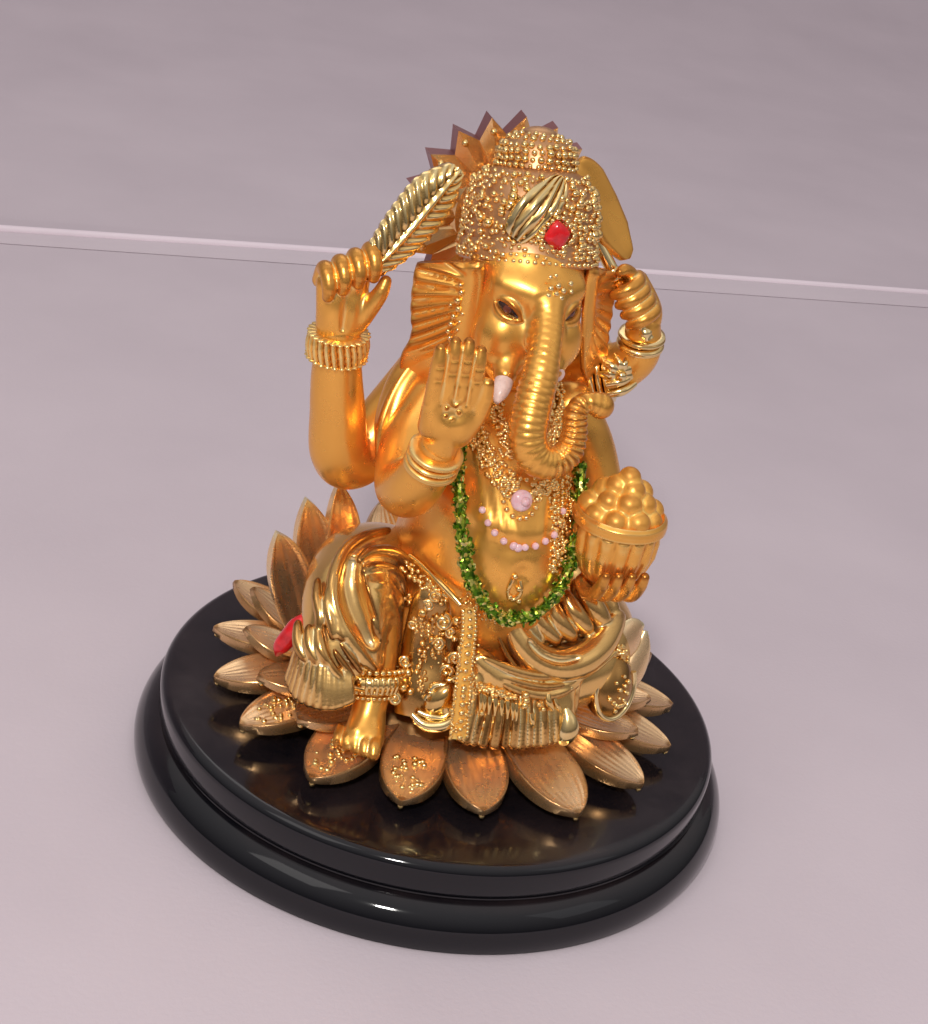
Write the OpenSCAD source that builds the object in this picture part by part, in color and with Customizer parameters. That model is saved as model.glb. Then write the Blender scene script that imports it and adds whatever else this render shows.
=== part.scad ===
// Seated elephant-headed deity on a lotus, mounted on a round gloss plinth.
// Millimetres. +Z is up, the figure faces -Y, and its own left hand is on +X.
// The origin is the centre of the face that the plinth rests on.
// The gilt figure is cast in pieces that are glued together on round pegs.

/* [Plinth] */
// Diameter of the plinth over its lower moulding
plinth_d = 93.2; // [88:0.2:110]
// Height of the plinth's top face above the table
plinth_h = 12.5; // [11:0.5:16]
// Thickness of the felt pad
felt_t = 0.6; // [0.4:0.1:1]

/* [Lotus] */
// Radius at the tips of the outer petals
lotus_r = 36.4; // [34:0.4:39]
// Height of the lotus seat above the plinth
seat_h = 8.5; // [7:0.5:10]

/* [Figure] */
// Size of the figure against its normal size
figure_scale = 1; // [0.9:0.01:1.05]
// Radius of the pegs that join the arms to the torso
arm_peg_r = 1.5; // [1:0.1:1.8]
// Radius of the peg that joins the head to the torso
neck_peg_r = 2.5; // [2:0.1:3]

/* [Ornament] */
// Number of rays round the full circle of the halo
halo_rays = 18; // [12:1:24]
// Radius of one bead on the crown and necklaces
bead_r = 0.65; // [0.5:0.05:0.8]

/* [Hidden] */

peg_gap = 0.05;              // radial gap between a peg and its socket
plinth_r = plinth_d / 2;
tier_r = plinth_r - 3.2;     // upper tier of the plinth
groove_z = plinth_h * 0.54;  // groove between the two tiers
seat_z = plinth_h + seat_h;
spigot_r = 6;                // of the lotus core in the plinth
spigot_l = 4;
screw_r = 1.5;
screw_tip_z = seat_z - 3;
// Directions of the petals, in degrees from +X
outer_petals = [-160, -136, -115, -95, -72, -50, -31, -13, 7, 27, 47, 67, 88, 109, 129, 147, 164, 182];
inner_petals = [-148, -40, -22, -3, 17, 37, 57, 77, 99, 119, 138, 156, 173, 192];
gold = "goldenrod";
bright_gold = "gold";
bronze = "darkgoldenrod";

// Sockets in the torso: where each arm's peg leaves it, as [side, y, z]
shoulder_x = 8;
front_shoulder = [-2, 62.5];
rear_shoulder = [4.5, 64.5];
neck = [0, 1.5, 64];

// ---------------------------------------------------------------- helpers

function unit(v) = v / norm(v);
function place(s) = [s[0], s[1], s[2]];
function spline_at(a, b, c, d, t) =
    0.5 * (2 * b + (c - a) * t + (2 * a - 5 * b + 4 * c - d) * t * t + (3 * b - a - 3 * c + d) * t * t * t);

// A smooth list through the stations s, with `steps` spans between each pair
function smooth(s, steps) = [
    for (i = [0 : len(s) - 2], k = [0 : steps - 1])
        spline_at(s[max(i - 1, 0)], s[i], s[i + 1], s[min(i + 2, len(s) - 1)], k / steps),
    s[len(s) - 1]
];

function heading(s, i) = unit(place(s[min(i + 1, len(s) - 1)]) - place(s[max(i - 1, 0)]));

function ring(s, i, across, sides) =
    let (t = heading(s, i), u = unit(across - (across * t) * t), v = cross(t, u))
    [for (k = [0 : sides - 1]) let (q = 360 * k / sides)
        place(s[i]) + u * s[i][3] * cos(q) + v * s[i][4] * sin(q)];

// A closed skin through stations [x, y, z, half-width along `across`, half-thickness]
module loft(stations, across = [1, 0, 0], sides = 12, steps = 2) {
    s = smooth(stations, steps);
    last = len(s) - 1;
    points = [for (i = [0 : last]) each ring(s, i, across, sides)];
    walls = [for (i = [0 : last - 1], k = [0 : sides - 1])
        let (a = i * sides + k, b = i * sides + (k + 1) % sides)
        each [[a, b + sides, b], [a, a + sides, b + sides]]];
    near_end = [for (k = [0 : sides - 1]) k];
    far_end = [for (k = [sides - 1 : -1 : 0]) last * sides + k];
    polyhedron(points = points, faces = concat(walls, [near_end, far_end]), convexity = 6);
}

// A round tube through stations [x, y, z, r]
module tube(stations, across = [0, 1, 0], sides = 12, steps = 2)
    loft([for (s = stations) [s[0], s[1], s[2], s[3], s[3]]], across, sides, steps);

// One finger or toe: a chain of balls [x, y, z, r], each joined to the next
module digit(balls)
    for (i = [0 : len(balls) - 2])
        hull() for (b = [balls[i], balls[i + 1]])
            translate(place(b)) sphere(r = b[3], $fn = 8);

// A round peg or bore of radius r and length l from p, along direction d
module rod(p, d, r, l)
    translate(p) rotate([0, acos(unit(d)[2]), atan2(d[1], d[0])]) cylinder(r = r, h = l, $fn = 48);

// Beads set along a list of points
module beads(points, r = bead_r)
    for (p = points) translate(p) sphere(r = r, $fn = 24);

// Everything above the plinth grows from the middle of the plinth's top
module figure()
    translate([0, 0, plinth_h]) scale(figure_scale) translate([0, 0, -12.5]) children();

// ---------------------------------------------------------------- plinth

module plinth() {
    flange_z = 2.2;
    flange = [4.3, groove_z + 0.2 - flange_z];
    color("black") difference() {
        rotate_extrude($fn = 128) polygon(concat(
            [[0, felt_t]],
            [for (q = [-18 : 12 : 90])
                [plinth_r - flange[0] + flange[0] * cos(q), flange_z + flange[1] * sin(q)]],
            [[tier_r - 0.6, groove_z + 0.2], [tier_r - 0.6, groove_z + 0.7], [tier_r, groove_z + 1.1]],
            [for (q = [0 : 15 : 90])
                [tier_r - 1.4 + 1.4 * cos(q), plinth_h - 1.4 + 1.4 * sin(q)]],
            [[0, plinth_h]]
        ));
        translate([0, 0, plinth_h - spigot_l - 0.5]) cylinder(r = spigot_r + peg_gap, h = spigot_l + 1, $fn = 64);
        cylinder(r = screw_r + 0.3, h = plinth_h, $fn = 48);
        translate([0, 0, -1]) cylinder(r = 4, h = felt_t + 3, $fn = 48);
    }
}

module felt_pad()
    color("darkgreen") difference() {
        cylinder(r = plinth_r - 4, h = felt_t, $fn = 128);
        translate([0, 0, -1]) cylinder(r = 5, h = felt_t + 2, $fn = 48);
    }

module fixing_screw() {
    head_z = felt_t + 0.8;
    color("silver") difference() {
        union() {
            translate([0, 0, head_z]) cylinder(r = 3.2, h = 1.2, $fn = 48);
            translate([0, 0, head_z]) cylinder(r = screw_r, h = screw_tip_z - 1.5 - head_z, $fn = 48);
            translate([0, 0, screw_tip_z - 1.5]) cylinder(r1 = screw_r, r2 = 0.3, h = 1.5, $fn = 48);
        }
        for (q = [0, 90]) rotate(q) translate([-1.6, -0.3, head_z - 0.1]) cube([3.2, 0.6, 0.8]);
    }
}

// ---------------------------------------------------------------- lotus

module lotus_core()
    color(bronze) difference() {
        union() {
            translate([0, 0, plinth_h - spigot_l]) cylinder(r = spigot_r, h = spigot_l + 1, $fn = 64);
            rotate_extrude($fn = 96) polygon([
                [0, plinth_h], [21, plinth_h], [24, plinth_h + 1.5], [25.5, plinth_h + 4],
                [24, seat_z - 1.5], [20, seat_z], [0, seat_z]
            ]);
        }
        translate([0, 0, plinth_h - spigot_l - 1])
            cylinder(r = screw_r, h = screw_tip_z - plinth_h + spigot_l + 1, $fn = 48);
    }

// One petal along +X: it leaves the core at radius r0 and ends in a point at r1
module petal(r0, r1, z0, z1, half_w) {
    span = r1 - r0;
    loft([
        [r0, 0, z0, half_w * 0.62, 1.3],
        [r0 + span * 0.35, 0, z0 + (z1 - z0) * 0.3, half_w, 1.5],
        [r0 + span * 0.7, 0, z0 + (z1 - z0) * 0.72, half_w * 0.86, 1.2],
        [r1 - 0.6, 0, z1 - 0.1, half_w * 0.24, 0.6],
        [r1, 0, z1, 0.15, 0.25]
    ], across = [0, 1, 0], sides = 10, steps = 2);
}

// The front petals lie flat; the others stand up more, the further back they are
function petal_rise(q) = 1.6 * pow(1 - cos(q + 90), 2.7);
function petal_reach(q) = lotus_r - 3.6 * exp(-pow((q + 104) / 17, 2));

// Half the width of petal i, so that it stays clear of its neighbours in the row
function turn_to(a, b) = (b - a + 720) % 360;
function petal_half(row, i, r) =
    let (n = len(row), gap = min(turn_to(row[i], row[(i + 1) % n]), turn_to(row[(i + n - 1) % n], row[i])))
    min(5.2, 0.46 * r * gap * PI / 180);

module lotus_petals_outer()
    color(bronze) for (i = [0 : len(outer_petals) - 1])
        let (q = outer_petals[i], rise = petal_rise(q))
            rotate(q) petal(24.6, petal_reach(q), plinth_h + 3 + 0.35 * rise, plinth_h + 3 + rise,
                petal_half(outer_petals, i, 28));

module lotus_petals_inner()
    color(bronze) for (i = [0 : len(inner_petals) - 1])
        let (q = inner_petals[i], rise = petal_rise(q))
            rotate(q) petal(23.6, petal_reach(q) - 4.6, seat_z - 3.2, plinth_h + 7 + rise,
                petal_half(inner_petals, i, 26));

// ---------------------------------------------------------------- body

module torso()
    color(gold) figure() difference() {
        loft([
            [0, 3, 21, 11, 10],
            [0, 1, 27, 13.2, 13],
            [0, -3, 36, 12.6, 16],
            [0.3, -5, 45, 12.2, 16.6],
            [0.2, -3.5, 53, 11, 14.2],
            [0, 0.5, 60, 11.6, 9.8],
            [0, 2, 66, 10.6, 7],
            [0, 2, 70, 5.5, 5]
        ], across = [1, 0, 0], sides = 20, steps = 2);
        for (side = [-1, 1]) {
            rod([side * shoulder_x, front_shoulder[0], front_shoulder[1]], [side, 0, 0], arm_peg_r + peg_gap, 8);
            rod([side * shoulder_x, rear_shoulder[0], rear_shoulder[1]], [side, 0, 0], arm_peg_r + peg_gap, 8);
        }
        rod(neck, [0, 0, 1], neck_peg_r + peg_gap, 12);
    }

module head()
    color(gold) figure() difference() {
        union() {
            loft([
                [-1, -6, 71, 3.2, 3.4],
                [-1, -6, 74, 5.6, 5.6],
                [-0.8, -4.4, 79, 7.4, 7.6],
                [-0.4, -2, 84, 8.3, 8.6],
                [0, -0.2, 87.6, 8, 7.9],
                [0.2, 1.2, 91, 6, 6.4]
            ], across = [1, 0, 0], sides = 18, steps = 2);
            rod(neck, [0, 0, 1], neck_peg_r, 14);
        }
        in_crown() translate([-14, -14, crown_base]) cube([28, 28, 12]);
    }

// The trunk hangs down the chest, curls under and hooks up to the figure's left
trunk_path = [
    [0.8, -8.4, 84.6, 2.3], [0.6, -12.4, 81, 2.6], [-1, -16.6, 76, 2.8], [-2.6, -19.4, 71, 2.8],
    [-3.1, -21, 67.4, 2.65], [-1.4, -21.8, 64.9, 2.5], [1.4, -21.8, 64.4, 2.35], [3.4, -21.3, 65.8, 2.1],
    [4, -20.5, 68.4, 1.85], [3.9, -19.8, 70.8, 1.65], [4.6, -19.3, 72, 1.55], [6, -19.2, 72.3, 1.6], [7.6, -19, 71.8, 1.8]
];
module trunk() color(gold) figure() tube(trunk_path, across = [1, 0.2, 0], sides = 12, steps = 2);

module tusk_right()
    color("mistyrose") figure() tube([[-4.2, -12.2, 73, 1.3], [-5.1, -14.2, 71.9, 1.2], [-6.1, -16, 70.5, 0.7]], sides = 10);

module tusk_left()
    color("mistyrose") figure() tube([[2, -9.6, 74, 1.4], [2.9, -12, 73.4, 1.3], [3.2, -13, 73.2, 1.1]], sides = 10);

// An ear on the side given by side = -1 (right) or 1 (left)
module ear(side)
    color(gold) figure() translate([side > 0 ? -3.4 : 1.5, 2.3, 1.2]) loft([
        [side * 13.2, -5.6, 86.6, 3.6, 0.7],
        [side * 13.5, -5.8, 84.6, 4.6, 1],
        [side * 13, -6, 79.4, 4.5, 1],
        [side * 12.8, -5.4, 74.6, 3.9, 0.9],
        [side * 13.8, -4, 70, 2.6, 0.8],
        [side * 15, -2.6, 66, 1.2, 0.7]
    ], across = side > 0 ? [0.57, 0.82, -0.3] : [0.79, -0.61, 0.42], sides = 12, steps = 2);

// ---------------------------------------------------------------- crown and halo

crown_foot = [0.3, 0.2, 84.6];
crown_tilt = -16;
crown_base = 3;
module in_crown() translate(crown_foot) rotate([crown_tilt, 0, 0]) children();
module on_crown() figure() in_crown() children();

module crown_band()
    color(bright_gold) on_crown() difference() {
        cylinder(r = 9.9, h = crown_base, $fn = 96);
        translate([0, 0, -1]) cylinder(r = 8.7, h = 6, $fn = 96);
    }

module crown_dome()
    color(bright_gold) on_crown() rotate_extrude($fn = 96) polygon([
        [0, crown_base], [9.2, crown_base], [9.2, 5], [8.9, 8], [8.1, 10.5], [6.8, 12.2], [5.4, 13], [5.3, 13.6],
        [5.2, 15.6], [4.4, 16.8], [3, 17.2], [2.6, 17.8], [1.6, 18.4], [0, 18.6]
    ]);

function crown_row(r, z, count) = [for (i = [0 : count - 1])
    [r * cos(360 * i / count), r * sin(360 * i / count), z]];
module crown_beads()
    color(bright_gold) on_crown() union() {
        beads(crown_row(10.1, 0.7, 36));
        beads(crown_row(10.1, 2.3, 36));
        beads(crown_row(8.7, 9, 30));
        beads(crown_row(5.4, 14.6, 22));
    }

module crown_leaf()
    color(bright_gold) on_crown() loft([
        [-3.4, -8.8, 3.6, 1.4, 0.8], [-2.4, -9, 6, 2.8, 1], [-1, -8.6, 9, 2.2, 0.9], [0.4, -7.2, 12, 0.4, 0.4]
    ], across = [1, 0, 0], sides = 10);

module crown_gem()
    color("crimson") on_crown() translate([0.6, -9.5, 4.3]) rotate([84, 0, 0]) scale([1.7, 2, 1])
        cylinder(r1 = 1, r2 = 0.55, h = 0.9, $fn = 6);

module halo() {
    outer_r = 14.8;
    valley_r = 11.6;
    first_ray = 7;
    step = 180 / halo_rays;
    color(bronze) figure() translate([-0.8, 13.4, 87.7]) rotate([90, 0, 0])
        linear_extrude(3.2) polygon([for (i = [0 : 2 * halo_rays - 1])
            let (r = i % 2 == 0 ? outer_r : valley_r) [r * cos(first_ray + step * i), r * sin(first_ray + step * i)]]);
}

// ---------------------------------------------------------------- arms

// A peg that joins an arm to the torso, at shoulder [y, z]
module arm_peg(side, shoulder)
    rod([side * shoulder_x, shoulder[0], shoulder[1]], [side, 0, 0], arm_peg_r, 5);

// A fluted cuff round a wrist, from p along d
module cuff(p, d, r, h)
    translate(p) rotate([0, acos(unit(d)[2]), atan2(d[1], d[0])])
        rotate_extrude($fn = 48) polygon([[r - 1.4, 0], [r, 0.3], [r + 0.5, h / 2], [r, h - 0.3], [r - 1.4, h]]);

module arm_front_right()
    color(gold) figure() union() {
        tube([[-10.4, -1.6, 63.5, 4], [-13.4, -5, 58.4, 4.4], [-15.4, -11, 55, 4.2], [-15.6, -15.6, 57, 3.9],
            [-14.9, -18.6, 61.6, 3.3], [-14.4, -19.9, 65.6, 2.5]], across = [1, 0, 0.3]);
        arm_peg(-1, front_shoulder);
    }

module cuff_front_right() color(bright_gold) figure() cuff([-14.9, -19.2, 61.8], [0.08, -0.3, 1], 3.7, 3.2);

module hand_front_right()
    color(gold) figure() union() {
        hull() {
            translate([-14.4, -20.2, 66]) sphere(r = 2.2, $fn = 10);
            translate([-16.9, -21.4, 70]) sphere(r = 1.5, $fn = 8);
            translate([-11.8, -21.4, 70]) sphere(r = 1.5, $fn = 8);
            translate([-17.2, -22, 74.6]) sphere(r = 1.2, $fn = 8);
            translate([-12, -22, 74.6]) sphere(r = 1.2, $fn = 8);
        }
        for (i = [0 : 3]) {
            tip_z = [79.6, 81.2, 81, 79.2][i];
            x = -17.3 + 1.8 * i;
            digit([[x, -22, 74.4, 1.05], [x - 0.1, -22.3, 77.4, 1], [x, -22.2, tip_z - 0.8, 0.8]]);
        }
        digit([[-11.6, -21.2, 69.6, 1.4], [-10.2, -22, 72.6, 1.15], [-10, -22.3, 75.6, 0.9]]);
    }

module arm_rear_right()
    color(gold) figure() union() {
        tube([[-10.4, 4.8, 65, 4], [-14.6, 3.6, 58.2, 4.4], [-19.2, 1.4, 52.8, 4.4], [-22.4, -0.6, 54.6, 4.3],
            [-24, -1.8, 61.6, 3.9], [-25.1, -2.4, 67.6, 3.5], [-25.7, -2.8, 73.6, 2.9]], across = [0, 1, 0]);
        arm_peg(-1, rear_shoulder);
    }

module cuff_rear_right() color(bright_gold) figure() cuff([-25.5, -2.5, 70], [-0.05, -0.06, 1], 4.1, 3.6);

module hand_rear_right()
    color(gold) figure() union() {
        hull() {
            translate([-25.8, -2.9, 74.4]) sphere(r = 2.7, $fn = 10);
            translate([-27.6, -3, 80.4]) sphere(r = 2.4, $fn = 10);
            translate([-24, -3, 80.8]) sphere(r = 2.4, $fn = 10);
        }
        for (i = [0 : 3]) {
            x = -29.2 + 2 * i;
            z = 81.6 + 1.05 * i;
            digit([[x, -1.8, z - 0.4, 1.15], [x, -3.6, z + 1.5, 1.15], [x + 0.4, -5.6, z - 0.6, 1.05]]);
        }
        digit([[-23.4, -4.4, 76.6, 1.3], [-21.9, -5, 79.6, 1.2], [-20.9, -4.8, 81.8, 1]]);
    }

module plume()
    color(bright_gold) figure() loft([
        [-25.6, -3.6, 82.2, 1.5, 1.3], [-22, -3.4, 85, 2.6, 1.6], [-18.6, -2.6, 89.2, 3.8, 1.9],
        [-15.2, -1.2, 93.6, 3.7, 1.8], [-12.6, 0.2, 96.4, 1.8, 1.2]
    ], across = [1, 0, -1], sides = 12);

module arm_front_left()
    color(gold) figure() union() {
        tube([[10.4, -1.6, 63.5, 4], [13.6, -3, 58, 4.2], [15.8, -5.6, 51.6, 4], [16, -10, 47.6, 3.5],
            [15.6, -13.6, 46.2, 2.7]], across = [1, 0, 0]);
        arm_peg(1, front_shoulder);
    }

bowl_at = [14.4, -18.4, 44.8];
module hand_front_left()
    color(gold) figure() union() {
        hull() {
            translate([15.6, -13.4, 46]) sphere(r = 2.4, $fn = 10);
            translate([12.8, -16.8, 43.6]) sphere(r = 1.4, $fn = 8);
            translate([17, -16.8, 43.6]) sphere(r = 1.4, $fn = 8);
        }
        for (i = [0 : 3]) {
            x = 11.8 + 1.9 * i;
            digit([[x, -17.4, 43.2, 1.1], [x - 0.2, -21.4, 44, 1.05], [x - 0.3, -24, 47, 0.9]]);
        }
        digit([[12.8, -14.4, 45.6, 1.3], [8.8, -15.6, 48.4, 1.15], [7.6, -17, 51, 0.95]]);
    }

module bowl()
    color(gold) figure() translate(bowl_at) rotate_extrude($fn = 96) polygon([
        [0, 0], [3, 0], [5, 1.6], [6.3, 4.4], [6.7, 7.6], [6.5, 9.6], [6.8, 10.2], [6.8, 11], [5.9, 11],
        [5.8, 7.6], [4.8, 4.2], [3, 2], [0, 1.6]
    ]);

module sweets()
    color("orange") figure() translate(bowl_at) union() {
        translate([0, 0, 7.8]) cylinder(r = 5.7, h = 3.8, $fn = 48);
        for (q = [0 : 60 : 300]) rotate(q) translate([3.9, 0, 12.4]) sphere(r = 2.1, $fn = 32);
        for (q = [30 : 120 : 270]) rotate(q) translate([2, 0, 15.2]) sphere(r = 2.1, $fn = 32);
        translate([0, 0, 17.2]) sphere(r = 2, $fn = 32);
    }

module arm_rear_left()
    color(gold) figure() union() {
        tube([[10.4, 4.8, 65, 4], [14.2, 3.4, 67.2, 4], [18, 1.2, 69.2, 3.6], [19.7, -0.6, 72.4, 3.1],
            [19.3, -1, 76.6, 2.5]], across = [0, 1, 0]);
        arm_peg(1, rear_shoulder);
    }

module armlet_rear_left() color(bright_gold) figure() cuff([14.6, 3, 67.2], [1, -0.5, 0.4], 4.5, 3);

module cuff_rear_left() color(bright_gold) figure() cuff([19.6, -0.7, 73.2], [-0.1, -0.14, 1], 3.3, 2.4);

axe_foot = [19.6, -3, 75.4];
axe_top = [9.4, 2.4, 89.6];
finger_step = [-1.09, 0.5, 1.47];  // from one finger to the next, along the handle
module hand_rear_left()
    color(gold) figure() union() {
        hull() {
            translate([19.8, -0.6, 79]) sphere(r = 1.9, $fn = 10);
            translate([17.1, 0.7, 82.9]) sphere(r = 1.8, $fn = 10);
        }
        for (i = [0 : 3])
            translate(i * finger_step)
                digit([[19.5, -2.5, 79.3, 1.05], [17.8, -4.3, 78.6, 1.05], [16, -3.6, 77.1, 0.95]]);
        digit([[16.8, 0, 83.6, 1.2], [14.6, -1, 85.5, 1.1], [12.8, -2.2, 85.6, 0.9]]);
    }

module axe_handle()
    color(bright_gold) figure() rod(axe_foot, axe_top - axe_foot, 1.1, norm(axe_top - axe_foot));

// A crescent blade with its edge to the figure's left
module axe_head()
    color(bright_gold) figure() loft([
        [5.8, 3.2, 98.2, 1.2, 0.4], [7.6, 3.4, 96.6, 2.5, 0.9], [10.6, 3, 92.4, 3.1, 1.1],
        [13.4, 2.2, 88.6, 2.6, 0.9], [15.8, 1.4, 85.8, 0.8, 0.4]
    ], across = [1, 0.6, 0.4], sides = 12);

// ---------------------------------------------------------------- legs and cloth

// The right knee is raised and that foot stands on the lotus
module dhoti_right()
    color(bright_gold) figure() loft([
        [-6, 5, 28, 7, 7], [-12.5, 1.4, 34, 8, 7.4], [-19, -6, 38.4, 7.4, 6.8],
        [-22, -11.6, 34.6, 7, 5.8], [-21.4, -16, 28.6, 7.4, 4.8], [-20.4, -17.8, 24.6, 7.6, 4.2]
    ], across = [1, 0.6, 0], sides = 16);

module shin_right()
    color(gold) figure() tube([[-17.6, -13.6, 31, 3.6], [-16.8, -15.8, 27.6, 3.2], [-16.8, -17.8, 24.2, 2.8]],
        across = [1, 0, 0]);

module anklet_right() {
    centre = [-16.8, -17.6, 23.6];
    color(bright_gold) figure() union() {
        beads([for (i = [0 : 10]) let (q = 360 * i / 11)
            centre + [4 * cos(q), 2.8 * sin(q), 2.6 - 1.5 * sin(q)]], r = 0.75);
        translate(centre) rotate([-28, 0, 0]) rotate_extrude($fn = 48)
            polygon([[2.6, 0], [3.6, 0.2], [3.6, 1.2], [2.6, 1.4]]);
    }
}

module foot_right()
    color(gold) figure() union() {
        hull() {
            translate([-16.8, -17.6, 22.8]) sphere(r = 2.5, $fn = 10);
            translate([-21.6, -21, 19.4]) sphere(r = 1.5, $fn = 8);
            translate([-17.6, -23.2, 19.2]) sphere(r = 1.6, $fn = 8);
        }
        for (i = [0 : 4]) {
            x = -22 + 1.15 * i;
            y = -21.4 - 0.7 * i;
            digit([[x, y, 19.2, 0.8], [x - 0.7, y - 1.2, 19.2, 0.8], [x - 1.2, y - 2.2, 18.5, 0.72]]);
        }
    }

// The left leg is folded flat, with its foot in front of the middle
module dhoti_left()
    color(bright_gold) figure() loft([
        [6, 5, 28, 7, 7], [13.5, 0.6, 31, 8, 7.6], [19.4, -8.4, 29, 7, 7.4],
        [15.6, -15.8, 27.2, 5.4, 6.4], [8, -19.6, 26, 4.6, 5.6], [1.4, -20.8, 25.4, 4, 4.6]
    ], across = [0, 1, 0.01], sides = 16);

module foot_left()
    color(gold) figure() union() {
        hull() {
            translate([-0.6, -21.8, 24.6]) sphere(r = 2.6, $fn = 10);
            translate([-6.6, -22.6, 23.6]) sphere(r = 1.8, $fn = 8);
            translate([-6.4, -21.4, 26]) sphere(r = 1.6, $fn = 8);
        }
        for (i = [0 : 4])
            digit([[-7, -22.6 + 0.3 * i, 22.6 + 1.15 * i, 0.75], [-8.6, -22.9 + 0.3 * i, 22.4 + 1.15 * i, 0.72],
                [-9.6, -22.8 + 0.3 * i, 22.4 + 1.1 * i, 0.62]]);
    }

module knee_boss_left()
    color(bright_gold) figure() loft([
        [21.4, -8, 33, 1.4, 1.4], [22, -10.6, 30.6, 3.8, 3.6], [21.4, -13, 26.4, 4.6, 4.2],
        [20.4, -14.6, 22.6, 3.2, 3], [20, -15.2, 20.9, 1, 1]
    ], across = [1, 0, 0.3], sides = 14);

module apron()
    color(bright_gold) figure() loft([
        [-1, -20, 33, 4, 1.6], [0.4, -22.4, 28, 6.4, 2], [2, -24.4, 23.6, 8, 1.8], [2.4, -26, 20.9, 8.6, 1.2]
    ], across = [1, 0, 0], sides = 14);

// Points on the belly line: an oval round the torso at height z
function around(rx, ry, y0, z, from, to, count) = [for (i = [0 : count - 1])
    let (q = from + (to - from) * i / (count - 1)) [rx * cos(q), y0 + ry * sin(q), z]];

module waist_belt()
    color(bright_gold) figure() tube([for (p = around(13, 15.4, -3, 37, 180, 360, 13))
        [p[0], p[1], p[2] - 1.5 * abs(p[1]) / 18, 1.2]], across = [0, 0, 1], sides = 8, steps = 1);

module sash()
    color(bright_gold) figure() loft([
        [-5.6, -20.8, 38, 1.2, 0.9], [-6, -23, 33, 1.3, 0.9], [-6, -24.6, 27.5, 1.4, 0.9], [-5.8, -25.8, 22.4, 1.7, 0.9]
    ], across = [1, 0, 0], sides = 8);

// ---------------------------------------------------------------- ornaments on the chest

garland_path = [
    [-8.4, -8.2, 66.4], [-9.3, -14.2, 60], [-8.8, -18.2, 53.4], [-7, -21, 46], [-3.6, -22.6, 41.6],
    [0.2, -22.8, 40.4], [4.2, -22.2, 41.6], [7.6, -19.8, 45.6], [9, -17, 52.6], [9.2, -12.8, 60]
];
module garland()
    color("olivedrab") figure() tube([for (p = garland_path) [p[0], p[1], p[2], 1.25]], across = [1, 0, 0.4], sides = 8);

module necklace()
    color(bright_gold) figure() loft([
        [-6.6, -8.6, 68, 1.6, 1], [-6.4, -13.4, 63.2, 1.9, 1], [-3.8, -17.2, 58.6, 2, 1],
        [0, -18.6, 56.8, 2.2, 1], [3.8, -17.2, 58.6, 2, 1], [6.4, -13.4, 63.2, 1.9, 1], [6.6, -8.6, 68, 1.6, 1]
    ], across = [0, -0.55, 0.84], sides = 8);

module pendant()
    color("pink") figure() translate([-0.6, -20, 56.4]) rotate([72, 0, 0])
        cylinder(r1 = 2, r2 = 1.3, h = 1.5, $fn = 32);

module pearl_strand()
    color("pink") figure() beads([for (i = [0 : 8]) let (q = 200 + 17.5 * i)
        [0.2 + 6.2 * cos(q), -21.2 + 0.03 * pow(i - 4, 2) * 2.4, 55.4 + 5 * sin(q)]], r = 0.6);

// A scarf over the right shoulder, between the two right arms
module shawl()
    color(gold) figure() loft([
        [-10.4, 2.6, 70, 2, 1.6], [-13.6, 1.4, 65.4, 3.2, 1.8], [-15.8, -1.4, 60, 3, 1.6], [-16.6, -3.6, 55, 1.4, 1]
    ], across = [0.6, 1, 0], sides = 10);

// A red bud beside the right knee
module red_bud()
    color("crimson") figure() tube([[-28.4, -9.8, 27.4, 0.5], [-27.8, -10.4, 28.8, 1.2], [-26.6, -11, 31, 1.2], [-25.8, -11.4, 32.6, 0.4]],
        across = [0, 1, 0], sides = 10);

plinth();
felt_pad();
fixing_screw();
lotus_core();
lotus_petals_outer();
lotus_petals_inner();
torso();
head();
trunk();
tusk_right();
tusk_left();
ear(-1);  // ear_right
ear(1);  // ear_left
crown_band();
crown_dome();
crown_beads();
crown_leaf();
crown_gem();
halo();
arm_front_right();
hand_front_right();
cuff_front_right();
arm_rear_right();
hand_rear_right();
cuff_rear_right();
plume();
arm_front_left();
hand_front_left();
bowl();
sweets();
arm_rear_left();
hand_rear_left();
cuff_rear_left();
armlet_rear_left();
axe_handle();
axe_head();
dhoti_right();
shin_right();
foot_right();
anklet_right();
dhoti_left();
foot_left();
knee_boss_left();
apron();
waist_belt();
sash();
garland();
necklace();
pendant();
pearl_strand();
shawl();
red_bud();
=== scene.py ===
"""The looks of a small gilt figure, seated on a lotus on a round gloss-black plinth.

Lengths are millimetres in the CAD model's frame until a mesh is made, which is in metres.
The figure faces -Y, and its own left hand is on +X.
"""

import math

import bpy
import numpy as np
import openvdb
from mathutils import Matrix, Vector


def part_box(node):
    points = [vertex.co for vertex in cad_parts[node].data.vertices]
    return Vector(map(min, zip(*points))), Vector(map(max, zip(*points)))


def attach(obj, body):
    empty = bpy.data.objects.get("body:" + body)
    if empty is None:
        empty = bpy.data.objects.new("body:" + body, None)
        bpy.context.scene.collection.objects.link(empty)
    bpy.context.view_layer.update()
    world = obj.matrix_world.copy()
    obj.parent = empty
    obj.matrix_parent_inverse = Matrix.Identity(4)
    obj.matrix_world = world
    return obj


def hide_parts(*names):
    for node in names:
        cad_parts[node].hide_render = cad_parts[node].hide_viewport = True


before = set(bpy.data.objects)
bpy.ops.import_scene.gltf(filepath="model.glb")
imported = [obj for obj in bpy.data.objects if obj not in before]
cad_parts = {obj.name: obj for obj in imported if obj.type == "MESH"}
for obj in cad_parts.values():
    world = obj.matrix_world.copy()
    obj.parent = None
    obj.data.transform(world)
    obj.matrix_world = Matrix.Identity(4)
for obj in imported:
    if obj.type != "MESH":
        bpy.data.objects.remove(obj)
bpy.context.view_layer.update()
MM = 0.001
rng = np.random.default_rng(7)


# ---------------------------------------------------------------- places taken from the frame

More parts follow.
